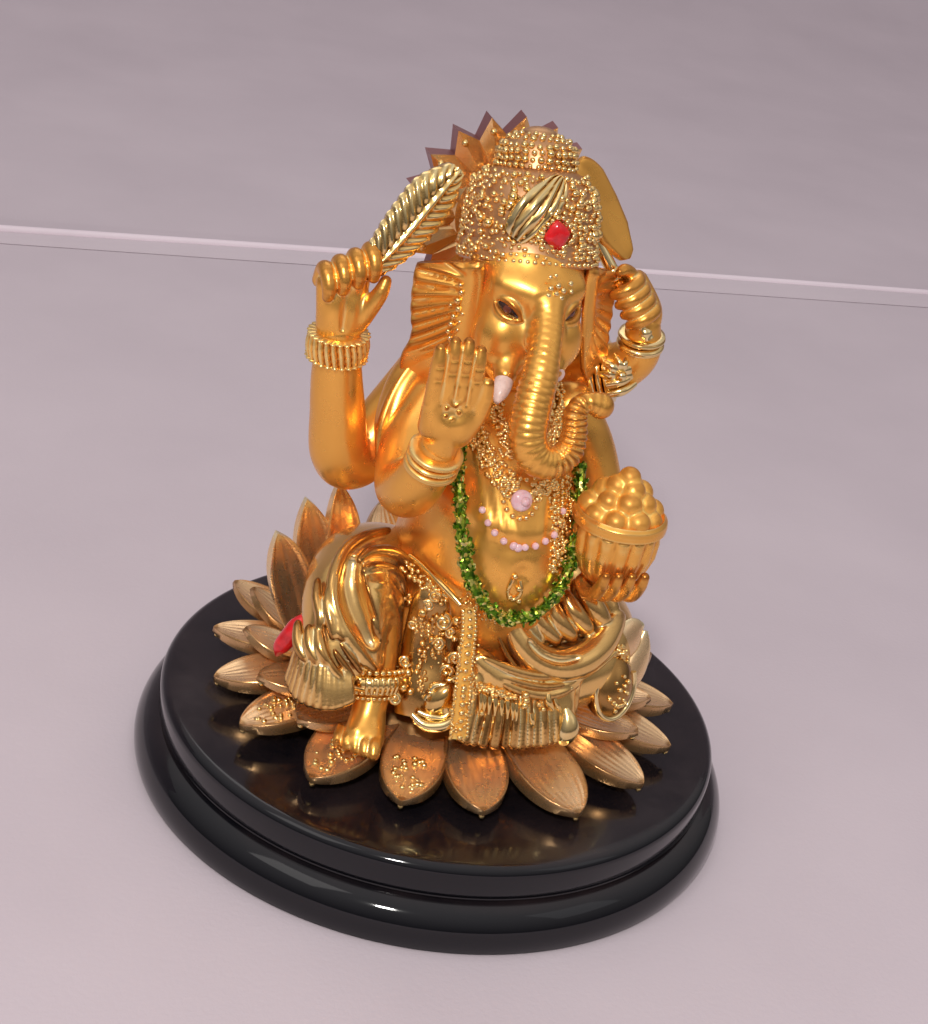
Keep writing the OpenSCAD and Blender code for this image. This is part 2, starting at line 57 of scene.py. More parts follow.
def box(node):
    """Lowest and highest corner of a CAD node, in millimetres."""
    low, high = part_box(node)
    return np.array(low) / MM, np.array(high) / MM


plinth_top = box("plinth")[1][2]
seat_top = box("lotus_core")[1][2]


# ---------------------------------------------------------------- small geometry helpers

def unit(v):
    """Vectors scaled to a length of 1."""
    v = np.asarray(v, float)
    return v / np.linalg.norm(v, axis=-1, keepdims=True)


def smooth(stations, per):
    """A Catmull-Rom curve through the stations, with `per` points to each span."""
    s = np.asarray(stations, float)
    out = []
    for i in range(len(s) - 1):
        a, b, c, d = s[max(i - 1, 0)], s[i], s[i + 1], s[min(i + 2, len(s) - 1)]
        t = (np.arange(per) / per)[:, None]
        out.append(0.5 * (2 * b + (c - a) * t + (2 * a - 5 * b + 4 * c - d) * t**2
                          + (3 * b - a - 3 * c + d) * t**3))
    out.append(s[-1:])
    return np.concatenate(out)


def axes_along(path, across):
    """Tangent and two cross directions at each point of a path; the first lies nearest `across`."""
    tangent = unit(np.gradient(path, axis=0))
    across = np.broadcast_to(np.asarray(across, float), tangent.shape)
    u = unit(across - (across * tangent).sum(1, keepdims=True) * tangent)
    return tangent, u, np.cross(tangent, u)


def circle(count):
    """Evenly spaced angles round a circle."""
    return np.linspace(0, 2 * np.pi, count, endpoint=False)


def rod(path, radius):
    """The points of a path, each followed by the same radius."""
    return np.concatenate([path, np.full((len(path), 1), radius)], 1)


def sheet(front, rear, edge):
    """Rows of points round a sheet; edge, from 0 to 1 across it, thins it at its rims."""
    middle = (front + rear) / 2
    return np.concatenate([middle + (front - middle) * edge, (middle + (rear - middle) * edge)[:, ::-1]], 1)


def length_along(path):
    """The distance along a path at each of its points."""
    step = np.linalg.norm(np.diff(path, axis=0), axis=1)
    return np.concatenate([[0], np.cumsum(step)])


def ramp(x, low, high):
    """0 below low, 1 above high, smooth between."""
    t = np.clip((x - low) / (high - low), 0, 1)
    return t * t * (3 - 2 * t)


def bump_at(x, middle, width):
    """A soft bump: 1 at the middle, falling away over the width."""
    return np.exp(-(((x - middle) / width) ** 2))


def turned(points, axis, degrees):
    """Points turned about the X, Y or Z axis through the origin."""
    c, s = math.cos(math.radians(degrees)), math.sin(math.radians(degrees))
    i, j = {"x": (1, 2), "y": (2, 0), "z": (0, 1)}[axis]
    p = np.array(points, float)
    p[..., i], p[..., j] = c * p[..., i] - s * p[..., j], s * p[..., i] + c * p[..., j]
    return p


# ---------------------------------------------------------------- meshes

BALL = {}


def ball(level):
    """Vertices and triangles of a unit ball."""
    if level not in BALL:
        import bmesh
        bm = bmesh.new()
        bmesh.ops.create_icosphere(bm, subdivisions=level, radius=1)
        bm.verts.ensure_lookup_table()
        verts = np.array([v.co for v in bm.verts])
        tris = np.array([[v.index for v in f.verts] for f in bm.faces])
        bm.free()
        BALL[level] = verts, tris
    return BALL[level]


class Shape:
    """Vertices, quads and triangles gathered for one mesh."""

    def __init__(self):
        self.verts, self.quads, self.tris, self.count = [], [], [], 0

    def add(self, verts, quads=None, tris=None):
        if quads is not None and len(quads):
            self.quads.append(np.asarray(quads) + self.count)
        if tris is not None and len(tris):
            self.tris.append(np.asarray(tris) + self.count)
        self.verts.append(np.asarray(verts, float).reshape(-1, 3))
        self.count += len(self.verts[-1])
        return self

    def grid(self, points, wrap=True, caps=True):
        """A skin over rows of points. wrap joins each row's end to its start; caps close the end rows."""
        rows, cols = points.shape[:2]
        index = np.arange(rows * cols).reshape(rows, cols)
        right = np.roll(index, -1, 1) if wrap else index[:, 1:]
        left = index if wrap else index[:, :-1]
        quads = np.stack([left[:-1], right[:-1], right[1:], left[1:]], -1).reshape(-1, 4)
        verts = points.reshape(-1, 3)
        tris = []
        if caps and wrap:
            for row, flip in ((0, True), (rows - 1, False)):
                verts = np.concatenate([verts, points[row].mean(0)[None]])
                hub = np.full(cols, len(verts) - 1)
                a, b = index[row], np.roll(index[row], -1)
                tris.append(np.stack([hub, b, a] if flip else [hub, a, b], -1))
        return self.add(verts, quads, np.concatenate(tris) if tris else None)

    def balls(self, points, radius, level=2, squash=None, along=None):
        """Round beads. squash and along flatten each bead along a direction."""
        verts, tris = ball(level)
        points = np.asarray(points, float).reshape(-1, 3)
        radius = np.broadcast_to(radius, len(points))
        v = verts[None] * radius[:, None, None]
        if squash is not None:
            n = unit(np.broadcast_to(along, points.shape))[:, None, :]
            v = v - n * (v * n).sum(-1, keepdims=True) * (1 - squash)
        v = v + points[:, None, :]
        t = tris[None] + (np.arange(len(points)) * len(verts))[:, None, None]
        return self.add(v.reshape(-1, 3), tris=t.reshape(-1, 3))

    def tube(self, stations, across=(0, 0, 1), sides=16, per=6, ridge=None):
        """A tube through [x, y, z, half-width, half-thickness]; ridge(s, q) scales its section."""
        s = smooth(stations, per)
        path = s[:, :3]
        _, u, v = axes_along(path, across)
        q = circle(sides)
        wide, thick = s[:, 3], s[:, 4] if s.shape[1] > 4 else s[:, 3]
        scale = 1 if ridge is None else ridge(length_along(path)[:, None], q[None, :])[..., None]
        ring = (u[:, None] * (wide[:, None] * np.cos(q))[..., None]
                + v[:, None] * (thick[:, None] * np.sin(q))[..., None])
        return self.grid(path[:, None] + ring * scale)

    def arrays(self):
        verts = np.concatenate(self.verts)
        quads = np.concatenate(self.quads) if self.quads else np.zeros((0, 4), int)
        tris = np.concatenate(self.tris) if self.tris else np.zeros((0, 3), int)
        return verts, quads, tris


def hollows(verts, edges, normals, rounds=3):
    """How hollow the surface is at each vertex, in millimetres: positive in a groove."""
    a, b = edges[:, 0], edges[:, 1]
    count = np.bincount(a, minlength=len(verts)) + np.bincount(b, minlength=len(verts))
    count = np.maximum(count, 1)

    def around(values):
        return (np.bincount(a, values[b], len(verts)) + np.bincount(b, values[a], len(verts))) / count

    mean = np.stack([around(verts[:, k]) for k in range(3)], 1)
    for _ in range(rounds):
        mean = np.stack([around(mean[:, k]) for k in range(3)], 1)
    length = np.linalg.norm(verts[a] - verts[b], axis=1)
    spacing = (np.bincount(a, length, len(verts)) + np.bincount(b, length, len(verts))) / count
    depth = ((mean - verts) * normals).sum(1) * np.clip(0.2 / np.maximum(spacing, 0.01), 0.1, 1.5) ** 2
    for _ in range(3):
        depth = (depth + around(depth)) / 2
    return depth


def make(name, shape, material, stands_for=(), sharp=50):
    """A piece from a Shape: rides on the root body and may stand for CAD nodes."""
    verts, quads, tris = shape.arrays()
    mesh = bpy.data.meshes.new(name)
    mesh.vertices.add(len(verts))
    mesh.vertices.foreach_set("co", (verts * MM).astype(np.float32).ravel())
    mesh.loops.add(quads.size + tris.size)
    mesh.loops.foreach_set("vertex_index", np.concatenate([quads.ravel(), tris.ravel()]).astype(np.int32))
    mesh.polygons.add(len(quads) + len(tris))
    starts = np.concatenate([np.arange(len(quads)) * 4, quads.size + np.arange(len(tris)) * 3])
    mesh.polygons.foreach_set("loop_start", starts.astype(np.int32))
    mesh.update(calc_edges=True)
    mesh.validate()
    mesh.shade_smooth()
    mesh.set_sharp_from_angle(angle=math.radians(sharp))
    edges = np.zeros(len(mesh.edges) * 2, np.int32)
    mesh.edges.foreach_get("vertices", edges)
    normals = np.zeros(len(mesh.vertices) * 3, np.float32)
    mesh.vertex_normals.foreach_get("vector", normals)
    layer = mesh.attributes.new("hollow", "FLOAT", "POINT")
    layer.data.foreach_set("value", hollows(verts, edges.reshape(-1, 2),
                                            normals.reshape(-1, 3)).astype(np.float32))
    piece = bpy.data.objects.new(name, mesh)
    bpy.context.scene.collection.objects.link(piece)
    mesh.materials.append(material)
    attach(piece, "root")
    if stands_for:
        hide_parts(*stands_for)
    return piece


# ---------------------------------------------------------------- virtual clay

def smooth_min(a, b, k):
    """The lesser of two distances, rounded over a width k where they meet."""
    if k <= 0:
        return np.minimum(a, b)
    h = np.maximum(k - np.abs(a - b), 0) / k
    return np.minimum(a, b) - h * h * k * 0.25


class Clay:
    """A block of signed distances. Rounded forms are added and cut, and its surface is then meshed."""

    FAR = 2.0

    def __init__(self, low, high, voxel):
        self.low, self.voxel = np.array(low, float), voxel
        self.size = np.ceil((np.array(high, float) - self.low) / voxel).astype(int) + 1
        self.d = np.full(self.size, self.FAR, np.float32)

    def window(self, low, high):
        """The part of the block that a box covers, and its X, Y and Z in millimetres."""
        a = np.clip(np.floor((np.asarray(low) - self.low) / self.voxel).astype(int), 0, self.size)
        b = np.clip(np.ceil((np.asarray(high) - self.low) / self.voxel).astype(int) + 1, 0, self.size)
        part = tuple(slice(i, j) for i, j in zip(a, b))
        line = [(self.low[k] + np.arange(a[k], b[k]) * self.voxel).astype(np.float32) for k in range(3)]
        return part, np.ix_(*line)

    def apply(self, low, high, distance, blend, cut=False):
        """Adds or cuts the form with the given distances, which lies inside low and high."""
        reach = blend + 1.2
        part, (x, y, z) = self.window(np.asarray(low) - reach, np.asarray(high) + reach)
        if min(p.stop - p.start for p in part) <= 0:
            return self
        new = distance(x, y, z)
        old = self.d[part]
        self.d[part] = -smooth_min(-old, new, blend) if cut else smooth_min(old, new, blend)
        return self

    def ball(self, p, r, blend=0.0, cut=False, stretch=(1, 1, 1), turn=None):
        """A ball or ellipsoid: r times stretch along its own axes, turned by the matrix `turn`."""
        p, half = np.asarray(p, float), r * np.asarray(stretch, float)
        m = np.eye(3) if turn is None else np.asarray(turn)
        reach = np.sqrt(((m.T * half[:, None]) ** 2).sum(0))

        def distance(x, y, z):
            dx, dy, dz = x - p[0], y - p[1], z - p[2]
            if turn is None:
                lx, ly, lz = dx, dy, dz
            else:
                lx = dx * m[0, 0] + dy * m[1, 0] + dz * m[2, 0]
                ly = dx * m[0, 1] + dy * m[1, 1] + dz * m[2, 1]
                lz = dx * m[0, 2] + dy * m[1, 2] + dz * m[2, 2]
            k0 = np.sqrt((lx / half[0]) ** 2 + (ly / half[1]) ** 2 + (lz / half[2]) ** 2)
            k1 = np.sqrt((lx / half[0] ** 2) ** 2 + (ly / half[1] ** 2) ** 2 + (lz / half[2] ** 2) ** 2)
            return k0 * (k0 - 1) / np.maximum(k1, 1e-6)

        return self.apply(p - reach, p + reach, distance, blend, cut)

    def bone(self, a, b, blend=0.0, cut=False):
        """A rod with round ends from [x, y, z, r] to [x, y, z, r]."""
        a, b = np.asarray(a, float), np.asarray(b, float)
        d = b[:3] - a[:3]
        long = max(float(d @ d), 1e-9)

        def distance(x, y, z):
            px, py, pz = x - a[0], y - a[1], z - a[2]
            t = np.clip((px * d[0] + py * d[1] + pz * d[2]) / long, 0, 1)
            gap = np.sqrt((px - t * d[0]) ** 2 + (py - t * d[1]) ** 2 + (pz - t * d[2]) ** 2)
            return gap - (a[3] + (b[3] - a[3]) * t)

        low = np.minimum(a[:3] - a[3], b[:3] - b[3])
        high = np.maximum(a[:3] + a[3], b[:3] + b[3])
        return self.apply(low, high, distance, blend, cut)

    def limb(self, stations, blend=0.0, per=4, cut=False):
        """A limb through [x, y, z, r]; its own joints stay smooth."""
        s = smooth(stations, per)
        low = (s[:, :3] - s[:, 3:4]).min(0)
        high = (s[:, :3] + s[:, 3:4]).max(0)
        reach = blend + 1.2
        part, _ = self.window(low - reach, high + reach)
        if min(p.stop - p.start for p in part) <= 0:
            return self
        sub = Clay.__new__(Clay)
        sub.low = self.low + np.array([p.start for p in part]) * self.voxel
        sub.voxel, sub.size = self.voxel, np.array([p.stop - p.start for p in part])
        sub.d = np.full(sub.size, self.FAR * 2, np.float32)
        for i in range(len(s) - 1):
            sub.bone(s[i], s[i + 1], 0.0)
        old = self.d[part]
        self.d[part] = -smooth_min(-old, sub.d, blend) if cut else smooth_min(old, sub.d, blend)
        return self

    def shape(self):
        """The surface of the block."""
        grid = openvdb.FloatGrid(self.FAR)
        field = np.clip(self.d, -self.FAR, self.FAR)
        for side in (0, -1):
            field[side], field[:, side], field[:, :, side] = self.FAR, self.FAR, self.FAR
        grid.copyFromArray(field)
        points, quads = grid.convertToQuads(0.0)
        out = Shape()
        out.add(np.asarray(points, float) * self.voxel + self.low, np.asarray(quads)[:, ::-1])
        return out


def rotation(x=0, y=0, z=0):
    """A matrix whose columns are the axes turned about X, then Y, then Z, in degrees."""
    return turned(turned(turned(np.eye(3), "x", x), "y", y), "z", z).T


# ---------------------------------------------------------------- materials

class Nodes:
    """Short names for building one material."""

    def __init__(self, name):
        self.material = bpy.data.materials.new(name)
        self.material.use_nodes = True
        self.tree = self.material.node_tree
        self.shader = self.tree.nodes["Principled BSDF"]
        self.place = self.tree.nodes.new("ShaderNodeTexCoord").outputs["Object"]

    def node(self, kind, **settings):
        made = self.tree.nodes.new("ShaderNode" + kind)
        for key, value in settings.items():
            setattr(made, key, value)
        return made

    def join(self, a, b):
        self.tree.links.new(a, b)

    def noise(self, per_mm, detail=3.0, rough=0.5):
        """Noise with about per_mm features to a millimetre."""
        made = self.node("TexNoise")
        made.inputs["Scale"].default_value = per_mm / MM
        made.inputs["Detail"].default_value = detail
        made.inputs["Roughness"].default_value = rough
        self.join(self.place, made.inputs["Vector"])
        return made.outputs["Fac"]

    def span(self, value, low, high, to_low=0.0, to_high=1.0):
        made = self.node("MapRange")
        for key, number in zip(("From Min", "From Max", "To Min", "To Max"), (low, high, to_low, to_high)):
            made.inputs[key].default_value = number
        self.join(value, made.inputs["Value"])
        return made.outputs["Result"]

    def colours(self, value, stops):
        made = self.node("ValToRGB")
        ramp = made.color_ramp
        while len(ramp.elements) < len(stops):
            ramp.elements.new(0.5)
        for element, (at, colour) in zip(ramp.elements, stops):
            element.position = at
            element.color = (*colour, 1)
        self.join(value, made.inputs["Fac"])
        return made.outputs["Color"]

    def attribute(self, name):
        return self.node("Attribute", attribute_name=name).outputs["Fac"]

    def maths(self, operation, a, b):
        made = self.node("Math", operation=operation)
        self.join(a, made.inputs[0])
        if isinstance(b, (int, float)):
            made.inputs[1].default_value = b
        else:
            self.join(b, made.inputs[1])
        return made.outputs[0]

    def bump(self, height, strength, distance):
        made = self.node("Bump")
        made.inputs["Strength"].default_value = strength
        made.inputs["Distance"].default_value = distance * MM
        self.join(height, made.inputs["Height"])
        self.join(made.outputs["Normal"], self.shader.inputs["Normal"])


def gilt(name, ridge, body, hollow, rough, reach, metallic=1.0, pit=0.05):
    """Metallic film on a casting, faintly pitted, with a painted highlight on ridges and painted shade in
    hollows `reach` mm down.
    """
    n = Nodes(name)
    depth = n.span(n.attribute("hollow"), -reach, reach)
    uneven = n.noise(0.16, 3)
    depth = n.maths("ADD", depth, n.span(uneven, 0.3, 0.7, -0.06, 0.06))
    # ridge colour: painted highlight; body: the gilt's own colour; hollow colour: painted shade
    n.join(n.colours(depth, [(0.0, ridge), (0.42, body), (0.62, body), (1.0, hollow)]),
           n.shader.inputs["Base Color"])
    n.shader.inputs["Metallic"].default_value = metallic
    n.join(n.span(n.noise(0.5, 4), 0.25, 0.75, rough * 0.8, rough * 1.25), n.shader.inputs["Roughness"])
    n.bump(n.noise(1.6, 3), pit, 0.12)
    return n.material


# Each gilt's three colours are a painted highlight on ridges, its own body colour, and painted shade in
# hollows.
satin_gold = gilt("satin_gold", (1.0, 0.72, 0.27), (0.98, 0.49, 0.10), (0.48, 0.17, 0.028), 0.29, 0.09,
                  metallic=0.8, pit=0.025)
gloss_gold = gilt("gloss_gold", (1.0, 0.78, 0.38), (0.95, 0.62, 0.22), (0.36, 0.16, 0.04), 0.17, 0.06)
bead_gold = gilt("bead_gold", (1.0, 0.74, 0.34), (0.98, 0.64, 0.22), (0.50, 0.26, 0.07), 0.16, 0.2)
bronze_gold = gilt("bronze_gold", (1.0, 0.66, 0.26), (0.50, 0.27, 0.085), (0.16, 0.07, 0.02), 0.24, 0.06)
halo_gold = gilt("halo_gold", (1.0, 0.70, 0.34), (0.92, 0.58, 0.26), (0.80, 0.45, 0.20), 0.22, 3.0,
                 metallic=0.9)
petal_gold = gilt("petal_gold", (1.0, 0.86, 0.52), (0.92, 0.61, 0.33), (0.46, 0.25, 0.10), 0.27, 0.06,
                  metallic=0.85)
# Dark gilt for the lotus seat: painted shade, so the seat reads as shadow under the petals.
seat_painted_shade = gilt("seat_painted_shade", (0.80, 0.50, 0.22), (0.22, 0.12, 0.05), (0.10, 0.05, 0.02), 0.35, 0.06)
fold_gold = gilt("fold_gold", (1.0, 0.82, 0.44), (0.94, 0.58, 0.20), (0.36, 0.15, 0.035), 0.19, 0.08,
                 metallic=0.9)
amber_gold = gilt("amber_gold", (1.0, 0.68, 0.20), (1.0, 0.52, 0.10), (0.52, 0.18, 0.025), 0.38, 0.08,
                  metallic=0.5)
crown_ground = gilt("crown_ground", (0.95, 0.62, 0.32), (0.58, 0.31, 0.15), (0.30, 0.14, 0.08), 0.40, 0.2,
                    metallic=0.8)
# Mauve-brown copy of the halo gilt for the rays' outer walls: a painted reflection of the backdrop.
halo_wall_reflection = gilt("halo_wall_reflection", (0.46, 0.22, 0.20), (0.32, 0.14, 0.14), (0.20, 0.08, 0.09), 0.36, 3.0,
                 metallic=0.6)


def lacquer():
    """Gloss black lacquer, with a faint bloom on what faces up: partly dust, partly a painted reflection of
    the petals.
    """
    n = Nodes("black_lacquer")
    geometry = n.node("NewGeometry")
    split = n.node("SeparateXYZ")
    n.join(geometry.outputs["Normal"], split.inputs["Vector"])
    up = n.span(split.outputs["Z"], 0.75, 1.0)
    cloud = n.span(n.noise(0.07, 5, 0.6), 0.35, 0.7)
    # brownish and rougher on upward faces: partly dust, partly a painted reflection of the petals
    dust_and_reflection = n.maths("MULTIPLY", up, cloud)
    n.join(n.colours(dust_and_reflection, [(0.0, (0.004, 0.004, 0.006)), (1.0, (0.020, 0.013, 0.014))]),
           n.shader.inputs["Base Color"])
    n.join(n.span(dust_and_reflection, 0.0, 1.0, 0.07, 0.26), n.shader.inputs["Roughness"])
    n.shader.inputs["Specular IOR Level"].default_value = 0.4
    n.shader.inputs["Coat Weight"].default_value = 0.25
    n.shader.inputs["Coat Roughness"].default_value = 0.05
    n.bump(n.noise(0.25, 2), 0.05, 0.1)
    return n.material


def paint(name, light, dark, rough, coat=0.5, through=0.0):
    """Brushed-on paint: two close colours, gloss, and a little unevenness."""
    n = Nodes(name)
    n.join(n.colours(n.noise(0.8, 3), [(0.3, dark), (0.7, light)]), n.shader.inputs["Base Color"])
    n.join(n.span(n.noise(1.6, 2), 0.3, 0.7, rough * 0.8, rough * 1.3), n.shader.inputs["Roughness"])
    n.shader.inputs["Coat Weight"].default_value = coat
    n.shader.inputs["Subsurface Weight"].default_value = through
    n.shader.inputs["Subsurface Radius"].default_value = (0.001, 0.0006, 0.0005)
    n.bump(n.noise(1.6, 3), 0.15, 0.1)
    return n.material


red_enamel = paint("red_enamel", (0.82, 0.015, 0.02), (0.55, 0.008, 0.012), 0.16)
pink_stone = paint("pink_stone", (0.95, 0.70, 0.72), (0.80, 0.45, 0.50), 0.12, coat=1.0, through=0.3)
ivory_paint = paint("ivory_paint", (0.90, 0.72, 0.66), (0.72, 0.50, 0.44), 0.28)
iris_paint = paint("iris_paint", (0.20, 0.045, 0.02), (0.10, 0.02, 0.01), 0.15, coat=1.0)
eye_paint = paint("eye_paint", (0.055, 0.02, 0.012), (0.02, 0.008, 0.006), 0.15, coat=1.0)


def glitter():
    """Green glitter flakes over gold: each flake has its own tint and tilt."""
    n = Nodes("green_glitter")
    cell = n.node("TexVoronoi")
    cell.inputs["Scale"].default_value = 2.2 / MM
    n.join(n.place, cell.inputs["Vector"])
    part = n.node("SeparateXYZ")
    n.join(cell.outputs["Color"], part.inputs["Vector"])
    n.join(n.colours(part.outputs["X"], [(0.0, (0.03, 0.09, 0.006)), (0.45, (0.12, 0.27, 0.015)),
                                         (0.75, (0.42, 0.50, 0.05)), (1.0, (0.98, 0.78, 0.30))]),
           n.shader.inputs["Base Color"])
    n.shader.inputs["Metallic"].default_value = 0.85
    n.join(n.span(part.outputs["Y"], 0, 1, 0.12, 0.4), n.shader.inputs["Roughness"])
    n.bump(part.outputs["Z"], 0.8, 0.25)
    return n.material


green_glitter = glitter()


def felt():
    """Short green felt."""
    n = Nodes("felt")
    n.join(n.colours(n.noise(3.0, 4), [(0.3, (0.010, 0.030, 0.014)), (0.7, (0.03, 0.07, 0.035))]),
           n.shader.inputs["Base Color"])
    n.shader.inputs["Roughness"].default_value = 0.95
    n.shader.inputs["Sheen Weight"].default_value = 0.3
    n.bump(n.noise(5.0, 3), 0.6, 0.2)
    return n.material


def steel():
    """Zinc-plated steel."""
    n = Nodes("zinc_steel")
    n.join(n.colours(n.noise(0.6, 2), [(0.3, (0.45, 0.46, 0.47)), (0.7, (0.62, 0.63, 0.65))]),
           n.shader.inputs["Base Color"])
    n.shader.inputs["Metallic"].default_value = 1.0
    n.join(n.span(n.noise(2.0, 2), 0.3, 0.7, 0.25, 0.4), n.shader.inputs["Roughness"])
    return n.material


def dress(node, material):
    """Gives a CAD node that is shown as it is a better material."""
    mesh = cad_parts[node].data
    mesh.materials.clear()
    mesh.materials.append(material)


dress("felt_pad", felt())
dress("fixing_screw", steel())


# ---------------------------------------------------------------- plinth

def plinth():
    """Turned base: rounded flange, fine groove, upper tier with a soft top edge."""
    low, high = box("plinth")
    radius, top, bottom = high[0], high[2], low[2]
    tier = radius - 3.2
    groove = top * 0.54
    q = np.radians(np.linspace(-24, 88, 24))
    flange = [(radius - 4.3 + 4.3 * math.cos(a), 2.2 + (groove - 2.0) * math.sin(a)) for a in q]
    neck = [(tier - 0.55, groove + 0.25), (tier - 0.6, groove + 0.45), (tier - 0.45, groove + 0.75),
            (tier - 0.1, groove + 1.0), (tier, groove + 1.4)]
    q = np.radians(np.linspace(0, 90, 12))
    rim = [(tier - 1.5 + 1.5 * math.cos(a), top - 1.5 + 1.5 * math.sin(a)) for a in q]
    face = [(r, top) for r in np.linspace(tier - 2.5, 4, 12)]
    under = [(4.2, bottom), (30, bottom), (radius - 1.5, bottom)]
    profile = np.array(under + flange + neck + rim + face + [(4.0, top - 2), (4.2, bottom)])
    turn = circle(240)
    points = np.stack([np.stack([r * np.cos(turn), r * np.sin(turn), np.full(240, z)], 1) for r,
                       z in profile])
    make("plinth_lacquered", Shape().grid(points, caps=False), lacquer(), ["plinth"],
         sharp=35)


# ---------------------------------------------------------------- lotus

def solids_of(node):
    """Corner points of each separate solid in a CAD node, in millimetres."""
    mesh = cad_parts[node].data
    co = np.array([v.co for v in mesh.vertices]) / MM
    _, same = np.unique(np.round(co, 3), axis=0, return_inverse=True)
    same = same.ravel()
    label = np.arange(same.max() + 1)
    edges = same[np.array([e.vertices[:] for e in mesh.edges])]
    while True:
        lowest = label.copy()
        np.minimum.at(lowest, edges[:, 0], label[edges[:, 1]])
        np.minimum.at(lowest, edges[:, 1], label[edges[:, 0]])
        lowest = lowest[lowest]
        if (lowest == label).all():
            break
        label = lowest
    return [co[label[same] == k] for k in np.unique(label)]


def petal(shape, root, tip, half, curl=0.0, thick=2.0, seed=0):
    """A thick petal: slightly dished top with fine grain, thin raised rim, upright sides, blunt point."""
    rows, cols = 44, 30
    t = np.linspace(0, 1, rows) ** 0.8
    out = unit((tip - root) * [1, 1, 0])
    side = np.cross([0, 0, 1], out)
    reach = np.linalg.norm((tip - root)[:2])
    run = root[:2][None] + out[:2] * (reach * t)[:, None]
    rise = root[2] + (tip[2] - root[2]) * t**1.5 + curl * t**5
    mid = np.concatenate([run, rise[:, None]], 1)
    tangent = unit(np.gradient(mid, axis=0))
    normal = unit(np.cross(tangent, side))
    width = half * (0.66 + 0.34 * np.sin(np.pi / 2 * np.clip(t / 0.66, 0, 1))) * (1 - t**5.4) ** 0.84
    width = np.maximum(width, 0.02)
    full = np.clip(width / half, 0, 1)[:, None]
    w = np.linspace(-1, 1, cols)
    rim = bump_at(np.abs(w), 0.90, 0.06) + bump_at(t, 0.955, 0.02)[:, None]
    dish = 0.10 * half * (w**2)[None] * full - 0.06 * bump_at(w, 0, 0.06)[None] * (1 - t[:, None])
    grain = 0.035 * np.sin(w[None] * 23 + seed + 1.2 * np.sin(5 * t[:, None] + seed)) * full
    grain = grain + 0.025 * np.sin(w[None] * 41 + 2 * seed) * full
    top = dish + 0.20 * np.clip(rim, 0, 1) * full + grain
    low = -thick * (0.55 + 0.45 * full) * (1 - 0.15 * w[None] ** 2)
    inset = w * np.sqrt(np.clip(1 - 0.10 * np.abs(w) ** 16, 0, 1))
    upper = mid[:, None] + side * (width[:, None] * inset)[..., None] + normal[:, None] * top[..., None]
    bevel = upper - [0, 0, 0.18]
    lower = mid[:, None] + side * (width[:, None] * w * 0.96)[..., None] + normal[:, None] * low[..., None]

    def edge(k):
        return (upper[:, k] * 0.3 + bevel[:, k] * 0.7 + side * (0.07 * np.sign(w[k])))[:, None]

    shape.grid(np.concatenate([upper, edge(-1), lower[:, ::-1], edge(0)], 1))


def lotus():
    """The seat: a core painted dark as shade, petals that follow each CAD petal's own root and tip, a bead
    under every tip of the lower row that stands for the highlight the gloss plinth reflects there (a painted
    reflection), and scattered beads on a few petals of that row at the front."""
    low, high = box("lotus_core")
    turn = circle(160)
    rim = high[0]
    profile = [(6.0, low[2]), (6.0, plinth_top), (rim - 4.5, plinth_top), (rim - 2.4, plinth_top + 1.6),
               (rim - 2.0, plinth_top + 3.6), (rim - 4.0, seat_top - 2.8), (rim - 7.5, seat_top - 0.6),
               (8, seat_top)]
    rows = []
    for r, z in smooth(profile, 4):
        flute = 1 - 0.02 * np.abs(np.sin(turn * 18)) * ramp(r, 8, 20)
        rows.append(np.stack([r * flute * np.cos(turn), r * flute * np.sin(turn), np.full(len(turn), z)], 1))
    # the seat's dark colour is painted shade under the petals
    make("lotus_seat", Shape().grid(np.array(rows)), seat_painted_shade, ["lotus_core"])
    beads_and_glints = Shape()
    for node in ("lotus_petals_outer", "lotus_petals_inner"):
        shape = Shape()
        for k, points in enumerate(solids_of(node)):
            far = np.linalg.norm(points[:, :2], axis=1)
            tip = points[far.argmax()]
            out = unit(tip * [1, 1, 0])
            side = np.cross([0, 0, 1], out)
            half = np.abs(points @ side).max()
            near = points[far < far.min() + 1.5]
            root = out * (near @ out).mean() + [0, 0, near[:, 2].mean()]
            down = 1 - ramp(tip[2], plinth_top + 4, plinth_top + 8)
            heading = math.degrees(math.atan2(out[1], out[0]))
            root = root - out * (8 if down else 4) + [0, 0, 3.0 * down]
            tip = tip - [0, 0, 0.3]
            petal(shape, root, tip, half * 1.12, curl=0.5, thick=1.2 + 0.9 * down, seed=k)
            if down:
                # a bright bead under the tip: a painted reflection of the tip's highlight on the gloss plinth
                beads_and_glints.balls([tip - out * 0.7 - [0, 0, 0.9]], 0.46)
                if -170 < heading < -95 and k % 2 == 0:
                    for _ in range(34):
                        a, b = rng.uniform(0.5, 0.9), rng.uniform(-0.66, 0.66)
                        at = root + (tip - root) * [a, a, a**1.5] + side * half * b * (1 - a**5) + [0, 0,
                                0.15]
                        beads_and_glints.balls([at], rng.uniform(0.25, 0.55))
        make(node + "_worked", shape, petal_gold, [node], sharp=65)
    make("petal_beads_and_glints", beads_and_glints, bead_gold)


# ---------------------------------------------------------------- trunk and tusks

TRUNK = [[0.8, -8.4, 84.6, 1.4], [0.5, -12.2, 81.0, 1.8], [-0.9, -16.4, 76, 2.35], [-2.3, -19.3, 71, 2.65],
         [-2.7, -21.0, 67.4, 2.6], [-1.2, -21.8, 64.9, 2.45], [1.4, -21.8, 64.4, 2.3],
         [3.4, -21.3, 65.8, 2.05], [4.0, -20.5, 68.4, 1.8], [3.9, -19.8, 70.8, 1.6], [4.6, -19.3, 72.0, 1.45],
         [6.0, -19.2, 72.3, 1.5], [7.6, -19.0, 71.8, 1.85]]


